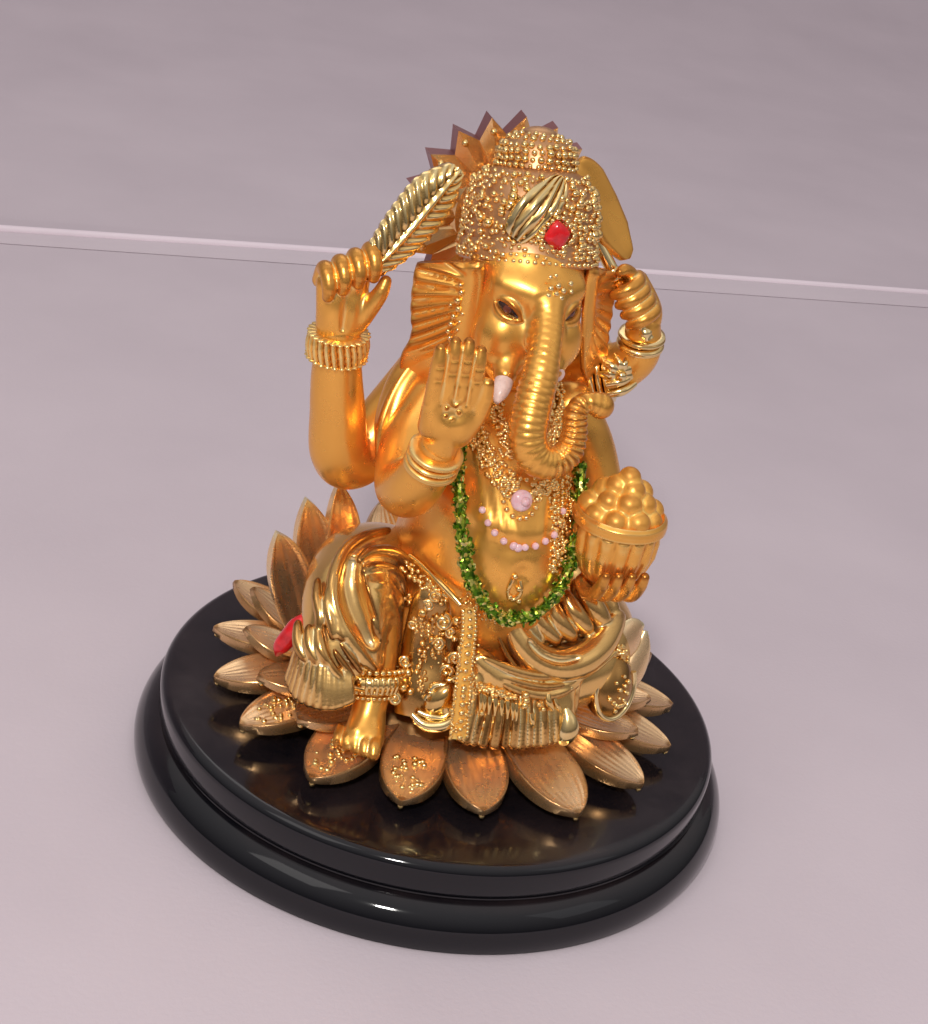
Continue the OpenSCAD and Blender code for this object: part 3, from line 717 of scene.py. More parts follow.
def tusks():
    """The whole right tusk and the broken left one."""
    right = Shape().tube([[-4.1, -11.9, 73.2, 1.15], [-5.0, -14.0, 72.0, 1.3], [-5.7, -15.3, 71.0, 1.0],
                          [-6.2, -16.1, 70.2, 0.35]], sides=20)
    make("tusk_right_painted", right, ivory_paint, ["tusk_right"])
    left = Shape().tube([[2, -9.8, 74, 1.3], [2.8, -11.8, 73.4, 1.3], [3.2, -12.9, 73.2, 1.0]], sides=20)
    make("tusk_left_painted", left, ivory_paint, ["tusk_left"])


# ---------------------------------------------------------------- head, trunk and face

def nearest_along(points, path, chunk=4000):
    """For each point: the index of the nearest path point, and the distance to it."""
    index = np.zeros(len(points), int)
    gap = np.zeros(len(points))
    for i in range(0, len(points), chunk):
        d = np.linalg.norm(points[i:i + chunk, None] - path[None], axis=2)
        index[i:i + chunk] = d.argmin(1)
        gap[i:i + chunk] = d.min(1)
    return index, gap


def trunk_path():
    """The points of the trunk's middle line, and its radius at each."""
    s = smooth(TRUNK, 24)
    return s[:, :3], s[:, 3]


def surface(clay, point, out):
    """Where a line through the point along `out` meets the clay's skin, coming from outside."""
    steps = np.arange(4, -4, -0.05)
    line = np.asarray(point) + np.asarray(out) * steps[:, None]
    index = np.clip(np.round((line - clay.low) / clay.voxel).astype(int), 0, clay.size - 1)
    inside = clay.d[tuple(index.T)] < 0
    return line[inside.argmax()]


def eye_axes(side):
    """Long axis, up axis and outward axis of an eye."""
    out = unit([side * 0.60, -0.78, 0.22])
    long = unit([-side * 0.783, -0.496, -0.40])
    long = unit(long - out * (long @ out))
    return long, np.cross(out, long) * -side, out


def eye_curve(c, side, lift, bulge):
    """An arc from the outer to the inner corner, bulging up (+) or down (-)."""
    long, up, out = eye_axes(side)
    t = np.linspace(-1, 1, 9)
    return [c + long * 2.45 * k + up * bulge * (1 - k * k) + out * (lift - 0.45 * k * k) for k in t]


def head():
    """Skull, brows, cheeks, mouth and the trunk as one skin, cut in two in a groove of the trunk."""
    low = np.minimum(box("head")[0], box("trunk")[0]) - 2
    high = np.maximum(box("head")[1], box("trunk")[1]) + 2
    clay = Clay(low, high, 0.19)
    clay.ball((-0.4, -1.5, 83.6), 8.4, stretch=(0.99, 1.05, 1.0))
    clay.ball((-0.7, -4.2, 79.2), 7.2, 3.0, stretch=(0.99, 1.0, 1.0))
    clay.ball((-0.9, -6.0, 75.2), 5.1, 3.4)
    clay.ball((-1.0, -6.2, 71.8), 3.4, 2.4)
    for side in (-1, 1):
        clay.bone((side * 5.2 - 0.3, -8.2, 84.2, 1.1), (side * 1.4 - 0.1, -9.9, 83.6, 1.5), 2.6)
        clay.ball((side * 4.3 - 0.7, -8.6, 76.6), 3.1, 3.0, stretch=(1, 1, 1.2))
        clay.bone((side * 8.2 - 0.5, -3.6, 86.0, 0.55), (side * 8.1 - 0.7, -4.4, 79.0, 0.5), 0.8)
    clay.bone((-3.2, -9.6, 74.6, 1.9), (-4.5, -12.8, 72.9, 1.55), 1.6)
    clay.bone((1.6, -9.2, 74.6, 1.8), (2.6, -11.6, 73.6, 1.5), 1.6)
    path, radius = trunk_path()
    stations = np.concatenate([path, radius[:, None]], 1)
    root = stations[8:64:3].copy()
    root[:, 3] -= 0.7 * (1 - ramp(np.arange(len(root)), 0, 8))
    clay.limb(root, 2.4, per=1)
    clay.limb(stations[50::3], 0.3, per=1)
    eyes_at = {}
    for side in (-1, 1):
        long, up, out = eye_axes(side)
        c = surface(clay, (side * 4.4 - 0.25, -9.8, 81.3), out)
        eyes_at[side] = c
        turn = np.stack([long, up, out], 1)
        clay.ball(c - up * 0.05 + out * 0.2, 1.0, 0.5, True, (2.3, 0.95, 0.8), turn)
        rim = [(*p, r) for p, r in zip(eye_curve(c, side, 0.05, -1.15),
                                       (0.1, .34, .46, .54, .58, .54, .46, .34, .1))]
        clay.limb(rim, 0.25, per=2)
        rim = [(*p, r) for p, r in zip(eye_curve(c, side, 0.18, 1.0),
                                       (0.1, .30, .40, .48, .50, .48, .42, .30, .1))]
        clay.limb(rim, 0.4, per=2)
    flower_at = surface(clay, (0.8, -10.4, 84.7), (0, -1, 0))
    verts, quads, _ = clay.shape().arrays()
    tangent, _, v = axes_along(path, (1, 0.2, 0))
    along = length_along(path)
    index, gap = nearest_along(verts, path)
    s = along[index] + ((verts - path[index]) * tangent[index]).sum(1)
    away = (verts - path[index]) / np.maximum(gap, 1e-6)[:, None]
    front = -(away * v[index]).sum(1)
    pitch = 1.16 - 0.2 * s / along[-1]
    wave = np.abs(np.sin(np.pi * s / pitch))
    on_trunk = 1 - ramp(gap / radius[index], 1.12, 1.5)
    begin = ramp(s, 5.0, 10)
    tip = 1 - ramp(s, along[-1] - 1.0, along[-1])
    deep = (1 - wave**0.55) * on_trunk * begin * tip * (0.35 + 0.65 * np.clip(front + 0.35, 0, 1))
    deep *= 0.33 + 0.20 * np.clip(front, 0, 1)
    verts = verts - away * deep[:, None]
    middle_s, middle_gap = s[quads].mean(1), (gap / radius[index])[quads].mean(1)
    cut = 10.72  # millimetres along the trunk
    hanging = (middle_s > cut) & (middle_gap < 1.35)
    for name, keep, node in (("head_face", ~hanging, "head"), ("trunk_ridged", hanging, "trunk")):
        used, again = np.unique(quads[keep], return_inverse=True)
        part = Shape().add(verts[used], again.reshape(-1, 4))
        make(name, part, satin_gold, [node], sharp=80)
    eyes, irises = Shape(), Shape()
    for side in (-1, 1):
        c = eyes_at[side]
        long, up, out = eye_axes(side)
        t, q = np.meshgrid(np.linspace(-1, 1, 25), np.linspace(-1, 1, 13), indexing="ij")
        almond = np.sqrt(np.clip(1 - t**2, 0, 1)) ** 1.3
        points = (c + long * (2.3 * t)[..., None] + up * (q * almond * 0.70 + 0.02)[..., None]
                  + out * (0.12 * (1 - q * q) * almond - 0.42 * t * t - 0.12)[..., None])
        eyes.grid(points if side > 0 else points[:, ::-1], wrap=False)
        irises.balls([c - out * 0.02], 0.62, level=3, squash=0.25, along=out)
    make("eyes_painted", eyes, eye_paint)
    make("irises_painted", irises, iris_paint)
    dots = Shape()
    middle = flower_at + [0, -0.05, 0]
    for k in range(6):
        a = 2 * math.pi * k / 6 + 0.4
        dots.balls([middle + [1.05 * math.cos(a), 0.1, 1.05 * math.sin(a)]], 0.46)
    dots.balls([middle + [0, -0.1, 0]], 0.42)
    for x, y, z, r in ((-1.1, 0.4, 2.1, 0.34), (-0.4, 0.35, 2.4, 0.3), (0.1, -0.45, -2.0, 0.36),
                       (1.1, -0.15, -1.7, 0.34), (1.9, 0.35, 1.4, 0.42), (2.2, 0.35, 0.3, 0.36)):
        dots.balls([middle + [x, y, z]], r)
    make("brow_flower", dots, gloss_gold)


# ---------------------------------------------------------------- ears

def ear(side):
    """A flared sheet that slopes outwards and down, with folds that fan out from its root.
    Only the right ear has beads along the root."""
    name = "ear_left" if side > 0 else "ear_right"
    rows, cols = 90, 46
    #            z     inner a  outer a   back
    outline = [(86.8, -4.4, 4.9, 0.2), (85.6, -4.6, 5.2, 0), (82.0, -4.9, 5.1, 0), (79.0, -5.0, 4.7, 0),
               (76.4, -5.0, 4.2, 0), (73.8, -4.6, 4.3, 0.3), (71.0, -3.6, 4.7, 1.0), (68.5, -2.0, 4.6, 1.8),
               (66.2, 0.4, 3.8, 2.8)]
    if side > 0:
        base, across, lean, ribs = np.array([10.4, -2.0, 0]), unit([0.74, 0.67, 0]), 0.14, 0.35
        outline = [(z, a, b - 1.2, back) for z, a, b, back in outline]
    else:
        base, across, lean, ribs = np.array([-11.4, -3.4, 0]), unit([-0.79, 0.61, 0]), 0.0, 1.0
    face = unit(np.cross(across, [0, 0, side]))
    line = smooth([(*p, 0) for p in outline], 12)[:, :4]
    z = np.interp(np.linspace(0, 1, rows), np.linspace(0, 1, len(line)), line[:, 0])
    inner, outer, back = (np.interp(-z, -line[:, 0], line[:, k]) for k in (1, 2, 3))
    w = np.linspace(0, 1, cols)
    a = inner[:, None] + (outer - inner)[:, None] * w[None]
    fan = np.degrees(np.arctan2(z[:, None] - 82.0, a + 8.5))
    fold = 0.5 - 0.5 * np.cos(2 * np.pi * (fan + 3) / 9.6)
    depth = ramp(w, 0.20, 0.42)[None] * (1 - 0.4 * ramp(w, 0.94, 1.0))[None]
    depth = depth * (0.1 + 0.9 * ramp(z, 70, 76))[:, None] * ribs
    rise = (0.95 * fold**0.6 - 0.45) * depth
    rise = rise + 0.35 * bump_at(z, 86.0, 0.7)[:, None] + 0.4 * bump_at(a, -3.0, 1.3) * ramp(z, 72, 78)[:,
            None]
    cup = 1.2 * (w - 0.4)[None] ** 2
    drop = 0.30 * (a + 5.2) * ramp(z, 66, 80)[:, None]
    mid = base + across * a[..., None] + np.array([0, 0, 1.0]) * (z[:, None] - drop)[..., None]
    mid = mid + np.array([0, 1, 0]) * back[:, None, None] + np.array([lean, 0, 0]) * (86 - z)[:, None, None]
    front = mid + face * (0.75 + rise + cup)[..., None]
    rear = mid + face * (-0.35 + cup)[..., None]
    edge = np.sqrt(np.clip(1 - (2 * w - 1) ** 12, 0, 1))[None, :, None]
    points = sheet(front, rear, edge)
    if side < 0:
        points = points[:, ::-1]
    make(name + "_folded", Shape().grid(points), satin_gold, [name], sharp=80)
    if side > 0:
        return
    beads = Shape()
    for zz, aa, r in ((83.6, -1.9, 0.40), (82.5, -2.2, 0.5), (81.3, -1.9, 0.6), (80.1, -2.2, 0.55),
                      (79.0, -1.7, 0.5), (77.9, -1.5, 0.5), (76.8, -1.3, 0.42), (75.8, -1.7, 0.42),
                      (80.7, -1.0, 0.32), (79.4, -2.9, 0.34), (78.2, -2.7, 0.34), (77.0, -2.6, 0.3),
                      (74.8, -2.3, 0.4)):
        at = base + across * aa + np.array([lean * (86 - zz), 0, zz - 0.30 * (aa + 5.2)]) + face * 1.1
        beads.balls([at], r)
    make(name + "_beads", beads, bead_gold)


# ---------------------------------------------------------------- crown

crown_foot = np.array([0.3, 0.2, 84.6])
crown_turn = rotation(x=-16)


def crown_place(points):
    """From the crown's own upright axes to the model's."""
    return np.asarray(points, float) @ crown_turn.T + crown_foot


def ring_of(radius, z, count, offset=0.0):
    """Evenly spaced points round the crown's axis."""
    q = 2 * np.pi * (np.arange(count) + offset) / count
    return np.stack([radius * np.cos(q), radius * np.sin(q), np.full(count, float(z))], 1)


def crown():
    """Rolled band, a dome set with rows of small beads, and stacked bead rings up to a knob."""
    turn = circle(200)

    def turned_shape(profile):
        rows = [np.stack([r * np.cos(turn), r * np.sin(turn), np.full(200, z)], 1) for r, z in profile]
        return Shape().grid(crown_place(np.array(rows)), caps=False)

    band = [(8.75, 0), (9.5, 0), (9.75, 0.3), (9.55, 0.6), (9.45, 3.0), (8.75, 3.0), (8.75, 0)]
    make("crown_band_rolled", turned_shape(band), crown_ground, ["crown_band"])
    dome = smooth([(9.2, 3.0, 0), (9.2, 5.0, 0), (8.9, 8.0, 0), (8.1, 10.5, 0), (6.6, 12.3, 0)], 8)[:,
            :2].tolist()
    dome += [(5.3, 12.9), (5.2, 13.4), (5.1, 15.6), (4.6, 16.5), (3.8, 17.0), (3.0, 17.2), (2.7, 17.5)]
    q = np.radians(np.linspace(0, 90, 10))
    dome += [(0.02 + 2.5 * math.cos(a), 17.5 + 1.1 * math.sin(a)) for a in q]
    make("crown_dome_chased", turned_shape(dome), crown_ground, ["crown_dome"], sharp=35)
    beads = Shape()
    ring = ring_of(9.7, 0.55, 62, 0.3)
    beads.balls(crown_place(ring + rng.normal(0, 0.06, ring.shape)), rng.uniform(0.30, 0.44, 62), level=2)
    profile = np.array(smooth([(9.6, 1.3, 0), (9.45, 3.2, 0), (9.3, 5.2, 0), (9.0, 8.1, 0), (8.2, 10.6, 0),
                               (6.7, 12.4, 0)], 6))[:, :2]
    level = length_along(profile)
    places, size = [], []
    row_gap, bead_gap = 0.86, 0.94
    for k, s in enumerate(np.arange(0.1, level[-1], row_gap)):
        r, z = np.interp(s, level, profile[:, 0]), np.interp(s, level, profile[:, 1])
        count = int(2 * np.pi * r / bead_gap)
        ring = ring_of(r, z, count, 0.5 * (k % 2))
        ring = ring + rng.normal(0, 0.16, ring.shape)
        keep = rng.random(count) > 0.13
        places.append(ring[keep])
        size.append((0.28 + 0.30 * rng.random(count) ** 1.4)[keep])
    places, size = np.concatenate(places), np.concatenate(size)
    beads.balls(crown_place(places), size, level=2)
    for _ in range(26):
        q, z = rng.uniform(0, 2 * np.pi), rng.uniform(3.4, 11)
        r = np.interp(z, profile[:, 1], profile[:, 0]) + 0.05
        knob = [r * math.cos(q), r * math.sin(q), z]
        beads.balls(crown_place([knob]), rng.uniform(0.6, 0.85), level=2)
    for r, z, count, b in ((5.5, 13.1, 34, 0.42), (5.4, 14.0, 31, 0.50), (5.35, 15.0, 30, 0.54),
                           (5.1, 15.9, 28, 0.5), (4.3, 16.8, 24, 0.46), (3.3, 17.3, 18, 0.40)):
        ring = ring_of(r, z, count, 0.3 * z)
        beads.balls(crown_place(ring + rng.normal(0, 0.08, ring.shape)), b * rng.uniform(0.75, 1.15, count),
                    level=2)
    make("crown_beads_fine", beads, bead_gold, ["crown_beads"])
    crown_ornament()


def crown_ornament():
    """The front of the crown: a grooved leaf beside a red gem, its bead setting, and two rows of beads."""
    leaf = Shape()
    rows, cols = 80, 30
    t = np.linspace(0, 1, rows)
    spine = smooth([(-5.0, -8.3, 3.6, 0), (-3.9, -9.0, 5.4, 0), (-2.2, -9.4, 7.8, 0), (-0.4, -8.9, 10.2, 0),
                    (0.9, -7.9, 12.0, 0)], 24)[:, :3]
    path = np.stack([np.interp(t, np.linspace(0, 1, len(spine)), spine[:, k]) for k in range(3)], 1)
    _, u, v = axes_along(path, (1, -0.1, -0.5))
    half = 2.7 * np.sin(np.pi * np.clip(t * 0.84 + 0.15, 0, 1)) ** 0.6
    w = np.linspace(-1, 1, cols)
    groove = np.abs(np.sin(np.pi * (2.1 * w[None] + 0.5 * t[:,
                                                            None] + 0.12 * np.sin(9 * t[:,
            None] + 2 * w[None]))))
    rise = 0.35 * (1 - w**2)[None] + 0.42 * groove**0.7 * (0.6 + 0.4 * np.sin(7 * t[:,
            None] + 5 * w[None]) ** 2)
    out = -np.sign((v @ np.array([0, 1.0, 0])))[:, None] * v
    wrap = -(w[None, :, None] ** 2) * half[:, None, None] ** 2 / 20 * out[:, None]
    face = path[:, None] + u[:, None] * (half[:, None] * w)[..., None] + out[:, None] * rise[..., None] + wrap
    back = path[:, None] + u[:, None] * (half[:, None] * w)[..., None] - out[:, None] * 0.8 + wrap
    leaf.grid(crown_place(np.concatenate([face, back[:, ::-1]], 1)))
    make("crown_leaf_fluted", leaf, gloss_gold, ["crown_leaf"])
    gem = Shape()
    rows, cols = 14, 40
    q = circle(cols)
    outline = (np.abs(np.cos(q)) ** 1.35 + np.abs(np.sin(q)) ** 1.35) ** (-1 / 1.35)
    points = []
    for k in range(rows):
        f = k / (rows - 1) * np.pi / 2
        rr = np.cos(f) ** 0.8
        points.append(np.stack([1.9 * rr * outline * np.cos(q), np.full(cols, -1.1 * np.sin(f)),
                                2.2 * rr * outline * np.sin(q)], 1))
    points = turned(turned(np.array(points), "y", -14), "z", 8)
    low, high = box("crown_gem")
    gem.grid(points + (low + high) / 2 + [0.0, 0.35, 0.1])
    make("crown_gem_cut", gem, red_enamel, ["crown_gem"], sharp=40)
    ring = Shape()
    c = (low + high) / 2 + [0, 0.1, 0.1]
    q = circle(18)
    around = (np.abs(np.cos(q)) ** 1.35 + np.abs(np.sin(q)) ** 1.35) ** (-1 / 1.35)
    ring.balls(np.stack([c[0] + 2.35 * around * np.cos(q), np.full(18, c[1]) + 0.25,
                         c[2] + 2.6 * around * np.sin(q)], 1), 0.36)
    for k in range(7):
        ring.balls(crown_place([[3.0 + 0.25 * k, -8.7 + 0.22 * k, 5.0 + 0.85 * k]]), 0.46)
        ring.balls(crown_place([[-0.6 - 0.2 * k, -9.6 + 0.3 * k, 7.2 + 0.8 * k]]), 0.42)
    make("crown_gem_setting", ring, bead_gold)


# ---------------------------------------------------------------- halo

def halo():
    """Rays behind the crown: each has a ridge line, two sloping sides, and a knop near its tip. Their outer
    walls carry a painted reflection of the backdrop.
    """
    low, high = box("halo")
    cx, cz = (low[0] + high[0]) / 2, (low[2] + high[2]) / 2
    outer = (high[0] - low[0]) / 2
    count, shape, edges = 18, Shape(), Shape()
    front, back = low[1], high[1]
    for k in range(count):
        q = math.radians(7 + 360 / count * k)
        half = math.pi / count
        root = 5.0

        def at(r, a, y):
            return [cx + r * math.cos(q + a), y, cz + r * math.sin(q + a)]

        v = [at(root, 0, front), at(root, -half, front + 0.8), at(root, half, front + 0.8),
             at(outer - 0.15, 0, front + 0.25), at(11.6, -half, front + 0.9), at(11.6, half, front + 0.9),
             at(root, 0, back), at(root, -half, back), at(root, half, back),
             at(outer, 0, back - 0.1), at(11.7, -half, back), at(11.7, half, back)]
        faces = [(0, 4, 1), (0, 3, 4), (0, 2, 5), (0, 5, 3), (6, 7, 10), (6, 10, 9), (6, 11, 8), (6, 9, 11)]
        walls = [(3, 9, 4), (4, 9, 10), (3, 5, 9), (5, 11, 9)]
        shape.add(v, tris=faces)
        edges.add(v, tris=walls)
    q = circle(100)
    profile = [(0.02, front - 0.1), (4.5, front - 0.2), (7.2, front + 0.1), (7.8, front + 0.7),
               (7.8, back - 0.4), (0.02, back)]
    rows = [np.stack([cx + r * np.cos(q), np.full(100, y), cz + r * np.sin(q)], 1) for r, y in profile]
    shape.grid(np.array(rows)[:, ::-1], caps=False)
    make("halo_rays", shape, halo_gold, ["halo"], sharp=20)
    # the outer walls are mauve-brown: a painted reflection of the backdrop
    make("halo_ray_edges", edges, halo_wall_reflection, sharp=20)
    knops = Shape()
    for k in range(count):
        q = math.radians(7 + 360 / count * k)
        knops.balls([(cx + (outer - 2.2) * math.cos(q), front + 0.1, cz + (outer - 2.2) * math.sin(q))], 0.55)
    make("halo_knops", knops, bead_gold)


# ---------------------------------------------------------------- plume

def plume():
    """A plume with a quill, and barbs that sweep from the quill to the edge and end in small notches."""
    stations = [(-25.6, -3.6, 82.2, 1.3), (-22, -3.4, 85, 2.6), (-18.6, -2.6, 89.2, 3.7),
                (-15.2, -1.2, 93.6, 3.7), (-12.4, 0.2, 97.0, 1.4)]
    s = smooth(stations, 30)
    path, half = s[:, :3], s[:, 3]
    _, u, v = axes_along(path, (1, 0, -1))
    along = length_along(path)
    cols = 30
    w = np.linspace(-1, 1, cols)
    sweep = along[:, None] - 3.2 * np.abs(w)[None] ** 1.2
    barb = np.abs(np.sin(np.pi * sweep / 1.45))
    notch = 1 - 0.10 * (1 - barb) * ramp(np.abs(w), 0.6, 1)[None]
    rise = 0.85 * (1 - np.abs(w) ** 2.2)[None] + 0.42 * barb * ramp(np.abs(w), 0.05, 0.3)[None]
    rise = rise + 0.65 * bump_at(w, 0, 0.10)[None]
    out = v if v[0] @ np.array([0, -1.0, 0]) > 0 else -v
    spread = u[:, None] * (half[:, None] * w[None] * notch)[..., None]
    front = path[:, None] + spread + out[:, None] * (rise + 0.5)[..., None]
    rear = path[:, None] + spread - out[:, None] * (rise * 0.8 + 0.4)[..., None]
    edge = np.sqrt(1 - np.abs(w) ** 10)[None, :, None]
    make("plume_feathered", Shape().grid(sheet(front, rear, edge)), gloss_gold, ["plume"],
         sharp=70)


# ---------------------------------------------------------------- torso and what lies on the chest

class Drape:
    """Finds where a line from the front meets a shape's skin, so that ornaments lie on it."""

    def __init__(self, shape):
        from mathutils.bvhtree import BVHTree
        verts, quads, tris = shape.arrays()
        self.tree = BVHTree.FromPolygons(verts.tolist(), quads.tolist() + tris.tolist())

    def at(self, x, z, lift=0.0):
        """The point of the skin at x and z, raised by lift; y is 0 where there is no skin."""
        hit, normal, _, _ = self.tree.ray_cast((x, -45.0, z), (0, 1, 0))
        if hit is None:
            return np.array([x, 0.0, z])
        return np.array(hit) + np.array(normal) * lift

    def line(self, points, lift=0.0):
        """A smooth line through [x, z] points, laid on the skin."""
        flat = smooth([(x, z, 0) for x, z in points], 10)[:, :2]
        return np.array([self.at(x, z, lift) for x, z in flat])


def evenly(path, gap):
    """Points along a path, the given distance apart."""
    along = length_along(path)
    s = np.arange(0, along[-1], gap)
    return np.stack([np.interp(s, along, path[:, k]) for k in range(3)], 1)


def torso():
    """Belly and chest as one skin, with a navel, two soft folds and the drapery lines of the chest."""
    stations = [(0, 3, 21, 11, 10), (0, 1, 27, 13.2, 13), (0, -3, 36, 12.6, 16), (0.3, -5, 45, 12.2, 16.6),
                (0.2, -3.5, 53, 11, 14.2), (0, 0.5, 60, 11.6, 9.8), (0, 2, 66, 10.6, 7), (0, 2, 70, 5.5, 5)]
    s = smooth(stations, 16)
    path = s[:, :3]
    _, u, v = axes_along(path, (1, 0, 0))
    q = circle(128)
    ring = u[:, None] * (s[:, 3:4] * np.cos(q))[..., None] + v[:, None] * (s[:, 4:5] * np.sin(q))[..., None]
    points = path[:, None] + ring
    x, y, z = points[..., 0], points[..., 1], points[..., 2]
    front = ramp(-y, 3, 9)
    navel = np.sqrt((x - 0.4) ** 2 + (z - 46.5) ** 2)
    dent = 0.9 * bump_at(navel, 0, 1.0) - 0.18 * bump_at(navel, 2.1, 0.9)
    fold = 0.28 * bump_at(z, 50.6 + 0.02 * x**2, 1.0) - 0.30 * bump_at(z, 52.4 + 0.02 * x**2, 1.2)
    chest = -0.9 * bump_at(np.abs(x), 4.6, 3.4) * bump_at(z, 59.5, 3.2)
    drape = np.zeros_like(x)
    for x0, lean in ((-6.4, 0.22), (-4.9, 0.25), (-3.2, 0.30), (3.4, -0.10), (4.9, -0.08)):
        drape += -0.38 * bump_at(x, x0 + lean * (60 - z), 0.55) * ramp(z, 49, 53) * (1 - ramp(z, 60, 63))
    points[..., 1] += front * (dent + fold + chest + drape)
    shape = Shape().grid(points)
    make("torso_modelled", shape, satin_gold, ["torso"], sharp=80)
    return Drape(shape)


def garland():
    """A thick string of small glitter flakes, hung from both shoulders."""
    path = smooth([(-8.4, -8.2, 66.4), (-9.3, -14.2, 60), (-8.8, -18.2, 53.4), (-7, -21, 46),
                   (-3.6, -22.6, 41.6), (0.2, -22.8, 40.4), (4.2, -22.2, 41.6), (7.6, -19.8, 45.6),
                   (9, -17, 52.6), (9.2, -12.8, 60)], 12)
    places = evenly(path, 0.115)
    count = len(places)
    tangent, u, v = axes_along(places, (0, 0.2, 1))
    q = rng.uniform(0, 2 * np.pi, count)
    r = rng.uniform(0.25, 1.0, count)
    middle = places + u * (r * np.cos(q))[:, None] + v * (r * np.sin(q))[:, None]
    flakes = Shape()
    verts, tris = ball(1)
    scale = rng.uniform(0.30, 0.62, count)
    long = unit(tangent + 0.9 * rng.normal(size=(count, 3)))
    side = unit(np.cross(long, rng.normal(size=(count, 3))))
    flat = np.cross(long, side)
    body = (verts[None, :, :1] * long[:, None] * 1.5 + verts[None, :, 1:2] * side[:, None] * 0.9
            + verts[None, :, 2:] * flat[:, None] * 0.45) * scale[:, None, None] + middle[:, None]
    t = tris[None] + (np.arange(count) * len(verts))[:, None, None]
    flakes.add(body.reshape(-1, 3), tris=t.reshape(-1, 3))
    flakes.tube(rod(path, 0.75)[::6], sides=10, per=4)
    make("garland_flakes", flakes, green_glitter, ["garland"], sharp=20)


def filigree(shape, path, width, density, small=0.22, large=0.5):
    """A dense band of small beads scattered about a path."""
    places = evenly(path, 1 / density)
    _, _, v = axes_along(places, (0, -1, 0.3))
    off = rng.uniform(-width, width, len(places))
    rng.normal(size=len(places))  # not used: it keeps every later draw as it is
    places = places + v * off[:, None]
    shape.balls(places, small + (large - small) * rng.random(len(places)) ** 2, level=1)


def chest(skin):
    """Collar, necklace, pendant, pearls and bead strings, all laid on the torso's skin."""
    collar = Shape()
    for side in (-1, 1):
        line = skin.line([(side * 6.8, 67.5), (side * 6.2, 63.5), (side * 4.4, 60), (side * 1.2, 57.6)],
                         lift=0.2)
        filigree(collar, line, 1.45, 11, 0.26, 0.56)
        for off in (-1.75, 1.75):
            edge = line + np.array([off * 0.75 * side, 0, off * 0.55])
            edge = np.array([skin.at(p[0], p[2], 0.25) for p in edge])
            collar.balls(evenly(edge, 0.95), 0.46)
    line = skin.line([(-3.8, 58.4), (-2.2, 57.2), (0, 56.6), (2.2, 57.2), (3.8, 58.4)], lift=0.2)
    filigree(collar, line, 0.8, 8)
    make("necklace_filigree", collar, bead_gold, ["necklace"])
    low, high = box("pendant")
    place = np.array([(low[0] + high[0]) / 2, 0, (low[2] + high[2]) / 2])
    place = skin.at(place[0], place[2], 0.4)
    stone = Shape().balls([place], 1.55, level=4, squash=0.55, along=(0, -1, 0.3))
    stone.balls([place + [0.3, -0.7, 0.25]], 0.7, level=3)
    make("pendant_stone", stone, pink_stone, ["pendant"])
    q = circle(15)
    ring = Shape()
    ring.balls([skin.at(place[0] + 2.35 * math.cos(a), place[2] + 2.35 * math.sin(a), 0.25) for a in q], 0.40)
    make("pendant_setting", ring, bead_gold)
    pearls = Shape()
    q = np.radians(np.linspace(196, 344, 11))
    pearls.balls([skin.at(0.3 + 6.0 * math.cos(a), 55.8 + 5.2 * math.sin(a), 0.3) for a in q], 0.52, level=3)
    pearls.balls([skin.at(-1.2, 50.7, 0.3), skin.at(-0.6, 50.5, 0.3)], 0.62, level=3, squash=0.6,
                 along=(0, -1, 0))
    make("pearls_on_chest", pearls, pink_stone, ["pearl_strand"])
    strands = Shape()
    for line in ([(4.2, 58.5), (4.6, 54), (5.0, 50), (5.2, 46.5)],
                 [(5.6, 59), (6.2, 54), (6.4, 50), (6.6, 47)],
                 [(7.2, 58), (7.9, 54), (8.4, 51), (9.4, 48.6)]):
        path = skin.line(line, lift=0.25)
        beads = evenly(path, 0.8)
        strands.balls(beads, rng.uniform(0.26, 0.46, len(beads)))
        filigree(strands, path, 0.7, 5)
    for x, z in ((-0.6, 46.3), (0.2, 44.6), (-0.8, 43.2), (0.6, 42.6)):
        strands.balls([skin.at(x, z, 0.1)], 0.5)
    loop = evenly(skin.line([(-0.9, 46), (-1.3, 44.2), (-0.4, 42.8), (0.6, 44), (0.2, 46)], lift=0.2), 1.2)
    strands.tube(rod(loop, 0.3), sides=8, per=3)
    filigree(strands, skin.line([(-6.5, 41.8), (-3, 40), (1, 39.6), (5, 40.8), (7.4, 43)], lift=0.2), 1.1, 7)
    filigree(strands, skin.line([(3.4, 66.5), (4.6, 64.5), (5.4, 62)], lift=0.4), 1.2, 9, 0.3, 0.6)
    filigree(strands, skin.line([(-2.6, 66), (-2.4, 64), (-2.6, 61)], lift=0.3), 1.0, 9, 0.25, 0.5)
    make("chest_strands", strands, bead_gold)


def belt():
    """A beaded belt round the waist."""
    rope = Shape()
    q = np.radians(np.linspace(176, 364, 80))
    low, high = box("waist_belt")
    cx, half = (low[0] + high[0]) / 2, (high[0] - low[0]) / 2 - 1.2
    z = (low[2] + high[2]) / 2
    path = np.stack([cx + half * np.cos(q), high[1] - 1.0 + (high[1] - low[1] - 2.2) * np.sin(q),
                     np.full(80, z)], 1)
    rope.tube(rod(path, 0.75)[::4], sides=12, per=4)
    for dz, r in ((0.75, 0.36), (-0.75, 0.36), (0.0, 0.55)):
        out = unit((path - path.mean(0)) * [1, 1, 0])
        rope.balls(evenly(path + out * (0.75 if dz == 0 else 0.35) + [0, 0, dz], 1.05), r)
    make("waist_belt_beaded", rope, bead_gold, ["waist_belt"])


# ---------------------------------------------------------------- arms and hands

